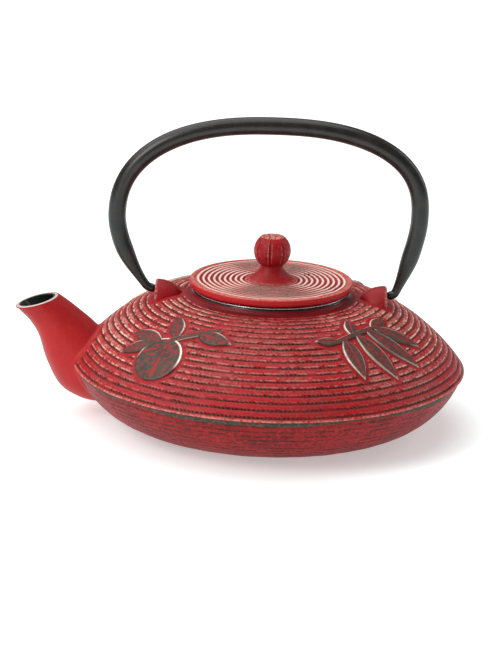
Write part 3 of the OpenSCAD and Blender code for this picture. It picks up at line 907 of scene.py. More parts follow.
def makeShoulder():
    columns = ribs["columns"]
    line = sampled(shoulderLine, ribs["rowStep"])
    steps = arcAlong(line)
    phase = (steps - ribs["first"]) / ribs["pitch"]
    surface = lathe(line, columns)
    angles = around(columns)
    heights = line[:, 1][:, None]
    clear = 1
    for away, margin, fade in ((clearOfReliefs(surface), relief["margin"], relief["fade"]),
                               (clearOfSpout(surface), ribs["spoutMargin"], ribs["fade"]),
                               (clearOfLugs(surface), ribs["lugMargin"], ribs["fade"])):
        clear = clear * smoothStep(away, margin, margin + fade)
    clear = clear * (smoothStep(steps, *ribs["start"]) * smoothStep(steps, *ribs["end"]))[:, None]
    # a rib is a rounded back with a narrow groove at its foot
    inRib = (phase[:, None] + ribs["drift"] * wavy(angles, heights, 3)) % 1.0
    groove = np.maximum(smoothStep(inRib, 0.26, 0.02), smoothStep(inRib, 0.90, 1.0) * 0.8)
    sag = ribs["depth"] * groove * clear + ribs["unevenness"] * (wavy(angles, heights, 5, 12, 60) + 1)
    sag = sag * smoothStep(steps, 0, 0.8 * mm)[:, None]
    surface = surface - lathe(sideOf(line), columns) * sag[..., None]
    # the inside, from the collar down to the belly, and out to the ledge
    inner = cavityLine(0)
    inner = sampled(inner[inner[:, 1] >= pot["bellyHeight"]][::-1], insideStep)
    back = lathe(np.concatenate([
        [[pot["mouthRadius"] + pot["enamel"], shoulderTop]], inner,
        [[pot["bellyRadius"] - 1.6 * mm, pot["bellyHeight"] - 0.3 * mm]],
        [[pot["bellyRadius"] - 0.35 * mm, pot["bellyHeight"] - 0.25 * mm]]]), columns)
    rings = np.concatenate([surface, back])
    # painted sheen and wear: the sides and the back are painted paler than the front, with paler crests and
    # lighter grooves there
    level = np.abs(np.cos(angles))
    sideways = smoothStep(level, 0.30, 0.95) + 0.5 * (np.sin(angles) > 0)
    paintedSheenAndWear = np.clip(0.25 + 0.75 * sideways, 0, 1) * (0.2 + 0.8 * smoothStep(steps, 5 * mm, 20 * mm)[:, None])
    # the crest measure is wear plus painted sheen, the groove measure is painted shade plus patina in the
    # grooves
    measures = {
        "crest": smoothStep(inRib, 0.30, 0.45) * smoothStep(inRib, 0.95, 0.75) * clear * paintedSheenAndWear,
        "groove": groove * clear * (1 - 0.35 * paintedSheenAndWear),
        "open": clear,
        "paintedSheenAndWear": paintedSheenAndWear,
        "edge": smoothStep(steps, 1.1 * mm, 0.2 * mm)[:, None] + 0 * inRib,
        "stained": (0.15 + 0.85 * smoothStep(level, 0.45, 0.9)) * clear,
    }
    pad = np.zeros((len(back), columns))
    measures = {key: np.concatenate([value, pad]) for key, value in measures.items()}
    # pits per turn change from rib to rib, so each face's corners carry their own count
    foot = ribs["first"] + (np.floor(phase[:-1]) + 0.1) * ribs["pitch"]
    count = np.round(turn * np.interp(foot, steps, line[:, 0]) / ribs["dash"])
    count = np.concatenate([count, np.ones(len(rings) - len(count))])
    column = np.arange(columns)
    rise = np.concatenate([phase, np.zeros(len(back) + 1)])
    corners = np.zeros((len(rings), columns, 4, 2))
    turned = np.stack([column, column + 1, column + 1, column], -1) / columns
    corners[..., 0] = count[:, None, None] * turned
    corners[..., 1] = np.stack([rise[:-1], rise[:-1], rise[1:], rise[1:]], -1)[:, None, :]
    makePiece("potShoulder", skin(rings, closeRows=True), "pot", finishes["shoulder"],
              ["pot_shell", "pot_collar"], measures, corners.reshape(-1, 4, 2), sharp=70)


lowerHalf = {
    "columns": 560,
    "rowStep": 0.62 * mm,
    "pitch": 2.6 * mm,       # spacing of the faint turned lines
    "lineDepth": 0.10 * mm,
    "unevenness": 0.05 * mm,
    "band": 1.3 * mm,        # the dark band under the ledge, and how much its width wanders
    "bandWander": 0.7 * mm,
    "chipAt": -112,          # degrees; the band is chipped wider here
    "chip": 1.4 * mm,
    # painted shade: the lower half's red and dark are deeper than the shoulder's lacquer
    "red": tint(142, 16, 20),
    "dark": tint(104, 8, 16),
    "darkSpeck": tint(74, 8, 14),
    "paleSpeck": tint(186, 40, 36),
    "bandGrey": tint(52, 56, 46),
    "bandBrown": tint(104, 74, 66),
}


def makeLower():
    foot = rounded([(0, 0, 0), (pot["footRadius"], 0, 0.4 * mm),
                    (pot["footRadius"] + 0.1 * mm, pot["footHeight"], 0)], closed=False)
    outer = sampled(lowerLine(200), lowerHalf["rowStep"])
    ledge = [[pot["bellyRadius"] - 1.6 * mm, pot["bellyHeight"] - 0.1 * mm]]
    inner = cavityLine(0)
    inner = sampled(inner[inner[:, 1] <= pot["bellyHeight"] + 0.01 * mm][::-1], insideStep)
    rings = lathe(np.concatenate([foot, outer, ledge, inner]), lowerHalf["columns"])
    angles = around(lowerHalf["columns"])
    first, last = len(foot), len(foot) + len(outer)
    heights = outer[:, 1][:, None]
    steps = arcAlong(outer)[:, None]
    # faint turned lines below the belly, and the casting's slow unevenness
    lines = (steps / lowerHalf["pitch"] + 0.08 * wavy(angles, heights, 11)) % 1.0
    lines = smoothStep(np.abs(lines - 0.5), 0.2, 0.05) * smoothStep(steps, 12 * mm, 26 * mm)
    ripple = wavy(angles, heights, 12, 12, 50) + 1
    dent = lowerHalf["lineDepth"] * lines + lowerHalf["unevenness"] * ripple
    rings[first:last] -= lathe(sideOf(outer), lowerHalf["columns"]) * dent[..., None]
    level, band = np.zeros((2, *rings.shape[:2]))
    level[first:last] = steps / lowerHalf["pitch"]
    # the dark band under the ledge comes and goes round the pot
    fromChip = np.abs(np.angle(np.exp(1j * (angles - math.radians(lowerHalf["chipAt"])))))
    reach = lowerHalf["band"] + lowerHalf["bandWander"] * wavy(angles, 0, 13, 6, 9)
    reach = reach + lowerHalf["chip"] * smoothStep(fromChip, 0.30, 0.12)
    band[first:last] = smoothStep(steps.max() - steps, reach + 0.3 * mm, reach - 0.2 * mm)
    band[last] = 1
    makePiece("potLower", skin(rings), "pot", lowerFinish(), ["pot_bowl", "pot_floor"],
              {"level": level, "band": band})


def lowerFinish():
    # the lower half's red, darker than the shoulder's as painted shade: fewer pits than the shoulder, dark
    # worn band right under the ledge
    finish = Finish("lowerBandLacquer")
    place = finish.place()
    wide, fine, grain = finish.mottle(16 * mm, 1.2 * mm, lacquer["grain"] * 1.4)
    colour = finish.mix(lowerHalf["red"], lowerHalf["dark"], wide.ramp(0.38, 0.68) * 0.6)
    colour = finish.mix(colour, lacquer["paleRed"], fine.ramp(0.56, 0.80) * 0.12)
    ring = (finish.measure("level") + (fine - 0.5) * 0.3).part()
    gone = finish.noise(finish.stretched(place, (1.0, 1.0, 4.0)), 12 * mm, 3.0).ramp(0.40, 0.54)
    specks = finish.noise(place, 1.6 * mm, 2.0).ramp(0.38, 0.52)
    dashes = ring.awayFrom(0.5).ramp(0.20, 0.06) * gone * specks
    colour = finish.mix(colour, lacquer["pit"], dashes * 0.85)
    speckle = finish.noise(place, 1.4 * mm, 3.0, 0.6)
    colour = finish.mix(colour, lowerHalf["darkSpeck"], speckle.ramp(0.52, 0.64) * 0.6)
    colour = finish.mix(colour, lowerHalf["paleSpeck"], speckle.ramp(0.46, 0.34) * 0.6)
    torn = (finish.measure("band") + (fine - 0.5) * 0.5).ramp(0.45, 0.60)
    metal = finish.mix(lowerHalf["bandGrey"], lowerHalf["bandBrown"], fine.ramp(0.45, 0.65))
    colour = finish.mix(colour, metal, torn)
    height = grain * 0.5 + (1 - dashes) * 0.5
    return finish.surface({
        "Base Color": colour, "Roughness": 0.38 + fine * 0.24 + torn * 0.1,
        "Normal": finish.bump(height, lacquer["grainDepth"] * 8.0),
        **gloss,
    })


def makeCollar():
    # the smooth ring round the mouth
    mouth = pot["mouthRadius"] + pot["enamel"]
    line = rounded([
        (mouth, shoulderTop - 3 * mm, 0), (pot["collarRadius"] + 1.2 * mm, shoulderTop - 1 * mm, 0),
        (pot["collarRadius"] + 0.2 * mm, shoulderTop - 0.1 * mm, 0.1 * mm),
        (pot["lipRadius"] + 0.5 * mm, shoulderTop + 0.7 * mm, 0.8 * mm),
        (pot["lipRadius"], pot["lipHeight"], 0.3 * mm), (mouth, pot["lipHeight"], 0)])
    makePiece("potCollar", skin(lathe(line, 360), closeRows=True), "pot", finishes["collar"],
              ["pot_collar"])


def makeLining():
    # the enamel: cavity wall outside, the same drawn in by its thickness inside, over the lip
    thick, mouth, lip = pot["enamel"], pot["mouthRadius"], pot["lipHeight"]
    top = rounded([(mouth + thick, lip, 0), (pot["lipRadius"], lip, 0.05 * mm),
                   (pot["lipRadius"] - 0.15 * mm, lip + thick, 0.3 * mm), (mouth, lip + thick, 0.3 * mm),
                   (mouth, lip - 1 * mm, 0)], closed=False)
    line = np.concatenate([cavityLine(0), top, cavityLine(thick)[::-1]])
    makePiece("potLining", skin(lathe(line, 256)), "pot", finishes["enamel"],
              ["enamel_lining"])


def makeLug(sign, name, node):
    # a half dome of revolution about a level axis: r falls as the cosine while x runs to the nose
    cap = lug["edgeRound"]
    corner = np.linspace(0, math.pi / 2, 6)
    face = np.stack([lug["radius"] - cap + cap * np.sin(corner), cap - cap * np.cos(corner)], -1)
    bend = np.linspace(0, math.pi / 2, 40)
    dome = np.stack([lug["radius"] * np.cos(bend), cap + (lug["length"] - cap) * np.sin(bend)], -1)[1:]
    rings = lathe(np.concatenate([[[0, 0]], face, dome]), 96)
    points = np.stack([(lug["faceAt"] - rings[..., 2]) * sign, rings[..., 1],
                       lug["level"] + rings[..., 0]], -1)
    # the rounded edge is rubbed along its upper part
    rubbed = np.zeros(points.shape[:2])
    rubbed[1:7] = np.array((0.1, 0.5, 0.9, 1.0, 0.7, 0.3))[:, None]
    rubbed = rubbed * smoothStep(points[..., 2], lug["level"] + 1 * mm, lug["level"] + 5 * mm)
    piece = makePiece(name, skin(points), "pot", finishes["plain"], [node], {"edge": rubbed})
    pinPlace = Matrix.Translation((sign * lug["faceAt"], 0, lug["pinLevel"]))
    drill(piece, lug["holeRadius"], 2 * lug["holeDepth"], 32, pinPlace @ Matrix.Rotation(turn / 4, 4, "Y"))


def onPlane(x, y, height, direction):
    # a point (x, y) of a relief's plane, in millimetres, dropped on the shoulder and lifted by height
    origin, right, up, normal = reliefFrame(direction)
    flat = origin + (x[..., None] * right + y[..., None] * up) * mm
    # the drop lies between these two; halving the gap again and again closes in on it
    low = np.full(x.shape, -25 * mm)
    high = np.full(x.shape, 12 * mm)
    for _ in range(36):
        middle = (low + high) / 2
        above = onShoulder(flat + middle[..., None] * normal) > 0
        high = np.where(above, middle, high)
        low = np.where(above, low, middle)
    spot = flat + ((low + high) / 2)[..., None] * normal
    r = np.hypot(spot[..., 0], spot[..., 1])
    sides = sideOf(shoulderLine)
    nr = np.interp(r, shoulderFalling[:, 0], sides[::-1, 0])
    nz = np.interp(r, shoulderFalling[:, 0], sides[::-1, 1])
    away = np.stack([nr * spot[..., 0] / r, nr * spot[..., 1] / r, nz], -1)
    away /= np.linalg.norm(away, axis=-1, keepdims=True)
    return spot + away * height[..., None]


reliefRoot = 0.4             # how far a relief's skin runs below the shoulder, as a share of its height


def fruitPart(part):
    # a flat ball on a grid of (radius, angle); its lobes run from its crown, with a small dimple there
    edgeRadii = 0.9 + 0.1 * np.sin(np.linspace(0, math.pi / 2, 8)[1:])
    rho = np.concatenate([[0], np.linspace(0.05, 0.9, 22), edgeRadii])
    theta = around(120)
    x = part["length"] * rho[:, None] * np.cos(theta)
    y = part["length"] * rho[:, None] * np.sin(theta)
    rise = 0.55 + 0.40 * np.sqrt(np.maximum(0, 1 - rho[:, None] ** 4)) + 0 * x
    rise[rho > 0.93] *= 0.9
    fromCrown = y - part["length"] * 0.55
    crown = np.hypot(x, fromCrown)
    lobes = 0.5 + 0.5 * np.cos(5 * np.arctan2(x, fromCrown) + 0.8)
    crease = smoothStep(lobes, 0.10, 0.0) * smoothStep(crown, 1.0, 3.0) * smoothStep(rho[:, None], 0.9, 0.7)
    dimple = smoothStep(crown, 1.6, 0.4)
    rise = rise - 0.30 * crease - 0.35 * dimple
    # the rim again, and the middle again, below the shoulder
    below = np.zeros((2, len(theta)))
    x, y = (part["place"][k] + np.concatenate([grid, grid[[-1, 0]]]) for k, grid in enumerate((x, y)))
    rise = np.concatenate([rise, below - reliefRoot])
    edge = np.concatenate([smoothStep(rho, 0.90, 0.97), [0.6, 0]])[:, None] + 0 * rise
    return x, y, rise, edge, np.concatenate([np.maximum(crease, dimple), below])


def stripPart(part):
    # a leaf or twig on a grid of (along, across), with veins or bark
    t = 0.5 - 0.5 * np.cos(np.linspace(0, math.pi, 56 if part["kind"] == "leaf" else 40))[:, None]
    across = np.concatenate([[-1.0, -0.97, -0.90, -0.78], np.linspace(-0.62, 0.62, 17),
                             [0.78, 0.90, 0.97, 1.0]])
    along = t * part["length"]
    half = halfWidth(part, t)
    lie = across * half
    slim = smoothStep(half, 0, 1.2)
    rise = (0.42 + 0.50 * np.sqrt(np.maximum(0, 1 - np.abs(across) ** 5))) * (0.5 + 0.5 * slim)
    if part["kind"] == "leaf":
        spine = smoothStep(np.abs(lie), 0.42, 0.12) * smoothStep(t, 0.98, 0.80)
        slant = (along / 2.6 - np.abs(lie) * 0.42) % 1.0
        sideVein = smoothStep(np.abs(slant - 0.5), 0.16, 0.04)
        sideVein = sideVein * smoothStep(np.abs(lie) / np.maximum(half, 0.01), 0.92, 0.6)
        groove = np.maximum(spine, sideVein * 0.6 * smoothStep(half, 1.0, 2.0))
        rise = rise - 0.26 * groove
    else:
        bark = 0.5 + 0.5 * np.sin(across * 9 + 3 * np.sin(t * 8))
        groove = bark * 0.25 * slim
        rise = rise - 0.10 * bark
    edge = np.maximum(smoothStep(np.abs(across), 0.76, 0.96), smoothStep(half, 0.9, 0.3) * 0.8)
    # both edges again, below the shoulder
    below = np.zeros((len(t), 2))
    lie = np.concatenate([lie, lie[:, [-1, 0]]], 1)
    rise = np.concatenate([rise, below - reliefRoot], 1)
    a = math.radians(part["heading"])
    x = part["place"][0] + along * math.cos(a) - lie * math.sin(a)
    y = part["place"][1] + along * math.sin(a) + lie * math.cos(a)
    return x, y, rise, np.concatenate([edge, below], 1), np.concatenate([groove, below], 1)


def makeRelief(shape, direction, name, node):
    # each part is a closed skin, raised in the middle and rolled over at its edge
    skins = []
    measures = {"edge": [], "groove": [], "lit": []}
    for part in reliefs[shape]["parts"]:
        isFruit = part["kind"] == "fruit"
        x, y, rise, edge, groove = fruitPart(part) if isFruit else stripPart(part)
        spots = onPlane(x, y, rise * relief["height"], direction)
        quads = gridFaces(*x.shape)
        if enclosed(spots.reshape(-1, 3) - spots.mean((0, 1)), quads) < 0:
            quads = quads[:, ::-1]
        skins.append((spots.reshape(-1, 3), quads))
        # the side of a part that looks up the shoulder gets painted highlight on its edges, the other side
        # painted shade
        middle = part["place"][1] if isFruit else (y.max(1) + y.min(1))[:, None] / 2
        span = np.maximum(0.3, (y.max() - y.min()) / 4)
        for key, values in zip(measures, (edge, groove, np.clip(0.5 + (y - middle) / span, 0, 1))):
            measures[key].append(values.ravel())
    measures = {key: np.concatenate(values) for key, values in measures.items()}
    makePiece(name, joined(skins), "pot", finishes["bronze"], [node], measures, sharp=60)


makeShoulder()
makeLower()
makeCollar()
makeLining()
makeSpout()
makeLug(-1, "lugSpoutSide", "spout_side_lug")
makeLug(1, "lugFarSide", "far_side_lug")
for place, half in (("front", 0), ("back", 180)):
    for kind in ("fruit", "leaf"):
        makeRelief(kind, reliefs[kind]["turn"] + half, kind + "Relief" + place.capitalize(),
                   place + "_" + kind + "_relief")
print("stage: pot made")

bow = {
    "pinLevel": lug["pinLevel"],
    "hookAt": 49.5 * mm,
    "hookRadius": 3.6 * mm,
    "hookTilt": 30,
    "halfWidth": 62.9 * mm,
    "height": 70.6 * mm,
    "wideHeight": 32 * mm,
    "full": 2.4,
    "barRadius": 3.75 * mm,
    "endRadius": 1.85 * mm,
    "pinRadius": 1.4 * mm,
    "pinEnd": 42 * mm,
    "eased": 14 * mm,        # the bar reaches its full radius this far below its widest place
    "hammered": 0.012,       # unevenness of the bar, as a share of its radius
    "sway": 4 * mm,
    "sides": 40,
}


def bowLine():
    # the +X half from the top: a full arc, an arm that curves in, and a round bend into the pin
    tilt = math.radians(bow["hookTilt"])
    armX = bow["hookAt"] + bow["hookRadius"] * math.cos(tilt)
    armZ = bow["hookRadius"] * (1 - math.sin(tilt))
    reach = bow["wideHeight"] - armZ
    inward = bow["halfWidth"] - armX
    power = 2 / bow["full"]
    a = np.radians(np.linspace(90, 2, 60))
    top = np.stack([bow["halfWidth"] * np.cos(a) ** power,
                    bow["wideHeight"] + (bow["height"] - bow["wideHeight"]) * np.sin(a) ** power], -1)
    u = np.linspace(0, 1, 40)
    arm = np.stack([bow["halfWidth"] - inward * u ** (math.tan(tilt) * reach / inward),
                    bow["wideHeight"] - reach * u], -1)
    b = np.linspace(-tilt, -math.pi / 2, 16)[1:]
    hook = bow["hookRadius"] * np.stack([np.cos(b), 1 + np.sin(b)], -1) + (bow["hookAt"], 0)
    half = sampled(np.concatenate([top, arm, hook]), 0.8 * mm)
    return np.concatenate([half[::-1] * (-1, 1), half[1:]])


def makeHandle():
    # a round bar swept along the bow; its radius eases down to the hooks, and pins run into the lugs
    line = bowLine()
    h = line[:, 1]
    u = np.clip(h / bow["height"], 0, None)
    line = line - np.stack([bow["sway"] * np.sin(math.pi * u) * (1 - u), 0 * u], -1)
    ease = smoothStep(h, 1 * mm, bow["wideHeight"] - bow["eased"])
    radius = bow["endRadius"] + (bow["barRadius"] - bow["endRadius"]) * ease
    blow = np.arange(len(line)) * 0.8
    radius = radius * (1 - bow["hammered"] * (1 + np.sin(blow / 9.0) * np.sin(blow / 23.0 + 1)))
    pin = np.array((bow["pinEnd"], bow["pinEnd"] + 0.3 * mm,
                    bow["hookAt"] - 0.6 * mm, bow["hookAt"] - 0.1 * mm))
    pinRadius = np.array((bow["pinRadius"] - 0.3 * mm, bow["pinRadius"],
                          bow["pinRadius"], bow["endRadius"] * 0.9))
    pin = np.stack([pin, 0 * pin], -1)
    line = np.concatenate([pin * (-1, 1), line, pin[::-1]])
    radius = np.concatenate([pinRadius, radius, pinRadius[::-1]])[:, None]
    side = sideOf(line)
    angles = around(bow["sides"])
    x = line[:, :1] + side[:, :1] * radius * np.cos(angles)
    z = bow["pinLevel"] + line[:, 1:] + side[:, 1:] * radius * np.cos(angles)
    rings = np.stack([x, radius * np.sin(angles), z], -1)
    tips = np.broadcast_to(rings[[0, -1]].mean(1, keepdims=True), (2, *rings.shape[1:]))
    rings = np.concatenate([tips[:1], rings, tips[1:]])
    makePiece("bailHandle", skin(rings), "handle", finishes["iron"], ["bail_handle"])


makeHandle()
print("stage: handle made")

lid = {
    "radius": lidHigh.x,
    "top": lidHigh.z,
    "thick": 2.9 * mm,
    "step": 0.7 * mm,
    "seatRadius": 31.3 * mm,
    "skirtRadius": 27.8 * mm,
    "skirtThick": 2.2 * mm,
    "skirtDepth": 4.4 * mm,
    "rimRound": 1.1 * mm,
    "firstGroove": 11.5 * mm,
    "pitch": 2.25 * mm,
    "grooves": 10,
    "grooveDepth": 0.45 * mm,
    "unevenness": 0.04 * mm,
    "ventAt": (18 * mm, 34),           # from the middle, and degrees
    "ventRadius": 1.1 * mm,
    "columns": 640,
    "pale": tint(252, 226, 212),       # the rings' worn backs
    "bareBrown": tint(150, 108, 98),   # where the top is rubbed through
    "bareGrey": tint(84, 70, 62),
}


def makeLid():
    top, under = lid["top"], lid["top"] - lid["thick"]
    seat = under - lid["step"]
    skirt = lid["skirtRadius"]
    deep = seat - lid["skirtDepth"]
    bottom = rounded([
        (0, under, 0), (skirt - lid["skirtThick"], under, 0.6 * mm),
        (skirt - lid["skirtThick"], deep, 0.6 * mm), (skirt, deep, 0.6 * mm), (skirt, seat, 0.3 * mm),
        (lid["seatRadius"], seat, 0.2 * mm), (lid["seatRadius"], under, 0.2 * mm),
        (lid["radius"], under, lid["rimRound"]), (lid["radius"], top, lid["rimRound"]),
        (lid["radius"] - 2 * mm, top, 0)], closed=False)
    face = np.stack([np.linspace(lid["radius"] - 2.2 * mm, 9 * mm, 84), np.full(84, top)], -1)
    rings = lathe(np.concatenate([bottom, face, [[4 * mm, top], [0, top]]]), lid["columns"])
    angles = around(lid["columns"])
    first, last = len(bottom), len(bottom) + len(face)
    r = face[:, 0][:, None]
    phase = (r - lid["firstGroove"]) / lid["pitch"] + 0.05 * wavy(angles, r, 21)
    inRing = np.abs((phase + 0.5) % 1.0 - 0.5)
    live = smoothStep(phase, -0.45, -0.25) * smoothStep(phase, lid["grooves"] - 0.4, lid["grooves"] - 0.7)
    groove = smoothStep(inRing, 0.36, 0.08) * live
    # the turned rings are rubbed through in front of the knob and behind it
    worn = smoothStep(np.abs(np.cos(angles)), 0.85, 0.45) * smoothStep(r, 32 * mm, 25 * mm)
    rings[first:last, :, 2] -= lid["grooveDepth"] * groove * (1 - 0.55 * worn)
    rings[first:last, :, 2] -= lid["unevenness"] * (wavy(angles, r, 22, 12, 40) + 1)
    crest, hollow, patina, edge = np.zeros((4, *rings.shape[:2]))
    crest[first:last] = smoothStep(inRing, 0.24, 0.38) * live * (1 - 0.5 * worn)
    hollow[first:last] = groove
    patina[first:last] = worn
    edge[first - 3:first + 4] = 0.8
    edge[first + 4:last] = 0.45 * smoothStep(r, 31.5 * mm, 33 * mm)[4:]
    piece = makePiece("lidPlate", skin(rings), "lid", lidFinish(), ["lid_plate"],
                      {"crest": crest, "groove": hollow, "worn": patina, "edge": edge})
    drill(piece, lid["ventRadius"], 16 * mm, 28, Matrix.Translation(ventAxis(top)))


def ventAxis(height):
    # a point of the steam hole's axis
    distance, heading = lid["ventAt"][0], math.radians(lid["ventAt"][1])
    return distance * math.cos(heading), distance * math.sin(heading), height


def lidFinish():
    # red in the turned grooves, darkened there with painted shade, pale on the rings' backs, grey brown
    # where it is rubbed through
    finish = Finish("lidLacquer")
    place = finish.place()
    wide = finish.noise(place, 10 * mm, 3.0)
    fine = finish.noise(place, 0.8 * mm, 4.0, 0.7)
    grain = finish.noise(place, lacquer["grain"], 3.0, 0.6)
    crest, groove, worn = (finish.measure(name) for name in ("crest", "groove", "worn"))
    colour = finish.mix(lacquer["red"], lacquer["paleRed"], fine.ramp(0.45, 0.75) * 0.30)
    # painted shade: the turned grooves are darkened with deep red
    colour = finish.mix(colour, lacquer["deepRed"], groove * 0.45)
    dirt = groove * finish.noise(place, 2.4 * mm, 3.0).ramp(0.49, 0.62)
    colour = finish.mix(colour, lacquer["patina"], dirt * 0.6)
    rubbed = crest * (fine + wide * 0.4).ramp(0.42, 0.66)
    colour = finish.mix(colour, lid["pale"], rubbed * 0.97)
    bare = worn * (wide + fine * 0.6).ramp(0.58, 0.84)
    metal = finish.mix(lid["bareBrown"], lid["bareGrey"], fine.ramp(0.42, 0.62))
    colour = finish.mix(colour, metal, bare * 0.8)
    colour = finish.mix(colour, lacquer["worn"], finish.measure("edge") * fine.ramp(0.36, 0.56) * 0.75)
    # painted shade: the steam hole and a thin ring round its mouth are painted near black; distance from
    # its axis, worked out on the object's coordinates
    ends = {0: finish.stretched(place, (1.0, 1.0, 0.0)), 1: ventAxis(0)}
    fromVent = finish.add("ShaderNodeVectorMath", {"operation": "DISTANCE"}, ends, "Value")
    colour = finish.mix(colour, lacquer["pit"], fromVent.ramp(1.18 * lid["ventRadius"], lid["ventRadius"]))
    return finish.surface({
        "Base Color": colour, "Roughness": 0.36 + fine * 0.25 + bare * 0.1,
        "Normal": finish.bump(grain, lacquer["grainDepth"] * 1.8),
        **gloss,
    })


knob = {
    "footRadius": knobHigh.x,
    "neckRadius": 4.8 * mm,
    "neckHeight": 6.3 * mm,
    "radius": 7.75 * mm,
    "flowerRadius": 4.75 * mm,
    "lobes": 8,
    "lobeTurn": -97,
    "lobeDepth": 0.55 * mm,
    "petals": 8,
    "valleyDepth": 0.8 * mm,   # between petals
    "ringDepth": 0.45 * mm,    # round the boss
    "dish": 0.25 * mm,         # of the flat top, just inside its rim
    "columns": 288,
}


def makeKnob():
    # a flared foot, a lobed bud and a flower in its flat top
    base, neck = lid["top"], knob["neckRadius"]
    u = np.linspace(0, 1, 30)
    flare = np.stack([neck + (knob["footRadius"] - neck) * (1 - u) ** 1.9,
                      base + knob["neckHeight"] * u], -1)
    ball = base + knob["neckHeight"] + math.sqrt(knob["radius"] ** 2 - neck ** 2)
    low = -math.acos(neck / knob["radius"])
    high = math.acos(knob["flowerRadius"] / knob["radius"])
    a = np.linspace(low, high, 64)[1:]
    bud = np.stack([knob["radius"] * np.cos(a), ball + knob["radius"] * np.sin(a)], -1)
    share = np.linspace(1, 0, 26)[1:, None]
    flower = np.concatenate([knob["flowerRadius"] * share, np.full((25, 1), bud[-1, 1])], 1)
    line = np.concatenate([[[0, base]], flare, bud, flower])
    rings = lathe(line, knob["columns"])
    angles = around(knob["columns"])
    first, last = 1 + len(flare), 1 + len(flare) + len(bud)
    # a narrow crease between lobes, deepest round the middle of the bud
    turned = angles - math.radians(knob["lobeTurn"])
    lobe = np.abs(np.cos(turned * knob["lobes"] / 2 + math.pi / 2))
    height = np.sin(np.linspace(0.12, math.pi - 0.25, last - first))[:, None]
    crease = smoothStep(lobe, 0.30, 0.0) * height
    r = line[first:last, :1] - knob["lobeDepth"] * crease
    rings[first:last, :, :2] = np.stack([r * np.cos(angles), r * np.sin(angles)], -1)
    # petals: each rises from the rim to its middle, with a valley between and a boss at the centre
    petal = np.abs(np.cos(angles * knob["petals"] / 2))
    valley = smoothStep(petal, 0.42, 0.0) * smoothStep(share, 0.22, 0.4)
    ring = smoothStep(np.abs(share - 0.30), 0.08, 0.02)
    dish = knob["dish"] * smoothStep(share, 1.0, 0.9) * smoothStep(share, 0.55, 1.0)
    rings[last:, :, 2] -= knob["valleyDepth"] * valley + knob["ringDepth"] * ring + dish
    crest, groove, edge = np.zeros((3, *rings.shape[:2]))
    # painted highlight and wear: pale lines on each side of a crease and pale petals on the flower; the
    # creases, valleys and ring are darkened with painted shade through groove
    crest[first:last] = smoothStep(np.abs(lobe - 0.40), 0.10, 0.02) * height * 0.7
    groove[first:last] = crease
    groove[last:] = np.maximum(valley, ring)
    edge[last:] = (1 - valley) * (1 - ring) * 1.3
    edge[last - 2:last + 2] = 1.0
    edge[1:4] = 0.35
    makePiece("lidKnob", skin(rings), "lid", finishes["knob"], ["lid_knob"],
              {"crest": crest, "groove": groove, "edge": edge})


rivet = {
    "radius": 1.5 * mm,
    "headRadius": 2.9 * mm,
    "headHeight": 1.3 * mm,
    "intoKnob": 8.9 * mm,
    "washerRadius": 4.5 * mm,
    "washerThick": 0.8 * mm,
}


def makeRivet():
    # shank through the plate, washer and a domed head under it
    radius, wide = rivet["radius"], rivet["washerRadius"]
    under = lid["top"] - lid["thick"]
    head = under - rivet["washerThick"]
    end = lid["top"] + rivet["intoKnob"]
    bend = np.linspace(0, math.pi / 2, 9)
    dome = np.stack([rivet["headRadius"] * np.sin(bend), head - rivet["headHeight"] * np.cos(bend)], -1)
    line = np.concatenate([dome, [[radius, head], [radius, end], [0, end]]])
    makePiece("knobRivet", skin(lathe(line, 64)), "lid", finishes["rivet"], ["knob_rivet"])
    ring = rounded([(radius, head, 0.1 * mm), (wide, head, 0.25 * mm), (wide, under, 0.1 * mm),
                    (radius, under, 0)])
    makePiece("knobWasher", skin(lathe(ring, 96), closeRows=True), "lid", finishes["rivet"],
              ["knob_washer"])


makeLid()
makeKnob()
makeRivet()
print("stage: lid made")

infuser = {
    "sheet": 0.5 * mm,
    "radius": footRingHigh.x,
    "flangeRadius": flangeHigh.x,
    "flangeTop": flangeHigh.z,
    "neckBottom": flangeLow.z,
    "bottom": footRingLow.z,
    "ringTop": footRingHigh.z,
    "wire": 0.11 * mm,
    "uprights": 150,
    "hoops": 30,
    "baseWires": 46,
    "seamWidth": 5 * mm,
    "weldPitch": 3.2 * mm,
}


def makeFlange():
    # flat ring that sits on the mouth, with its outer edge rolled, and the neck below it
    s = infuser["sheet"]
    r, top = infuser["radius"], infuser["flangeTop"]
    wide, low = infuser["flangeRadius"], infuser["neckBottom"]
    line = rounded([
        (r - s, low, 0.1 * mm), (r, low, 0.1 * mm), (r, top - s, 0.15 * mm),
        (wide, top - s, 0.24 * mm), (wide, top, 0.24 * mm), (r - s, top, 0.4 * mm)])
    makePiece("infuserFlange", skin(lathe(line, 256), closeRows=True), "infuser", finishes["sheet"],
              ["infuser_rim"])


def makeFootRing():
    # an L of sheet, bent under the edge of the base
    s = infuser["sheet"]
    r, low, high = infuser["radius"], infuser["bottom"], infuser["ringTop"]
    lip = low + 0.6 * mm
    line = rounded([
        (r - 3 * mm, low, 0.1 * mm), (r, low, 0.6 * mm), (r, high, 0.1 * mm),
        (r - s, high, 0.1 * mm), (r - s, lip, 0.2 * mm), (r - 3 * mm, lip, 0.1 * mm)])
    makePiece("infuserFootRing", skin(lathe(line, 200), closeRows=True), "infuser", finishes["sheet"],
              ["infuser_base_ring"])


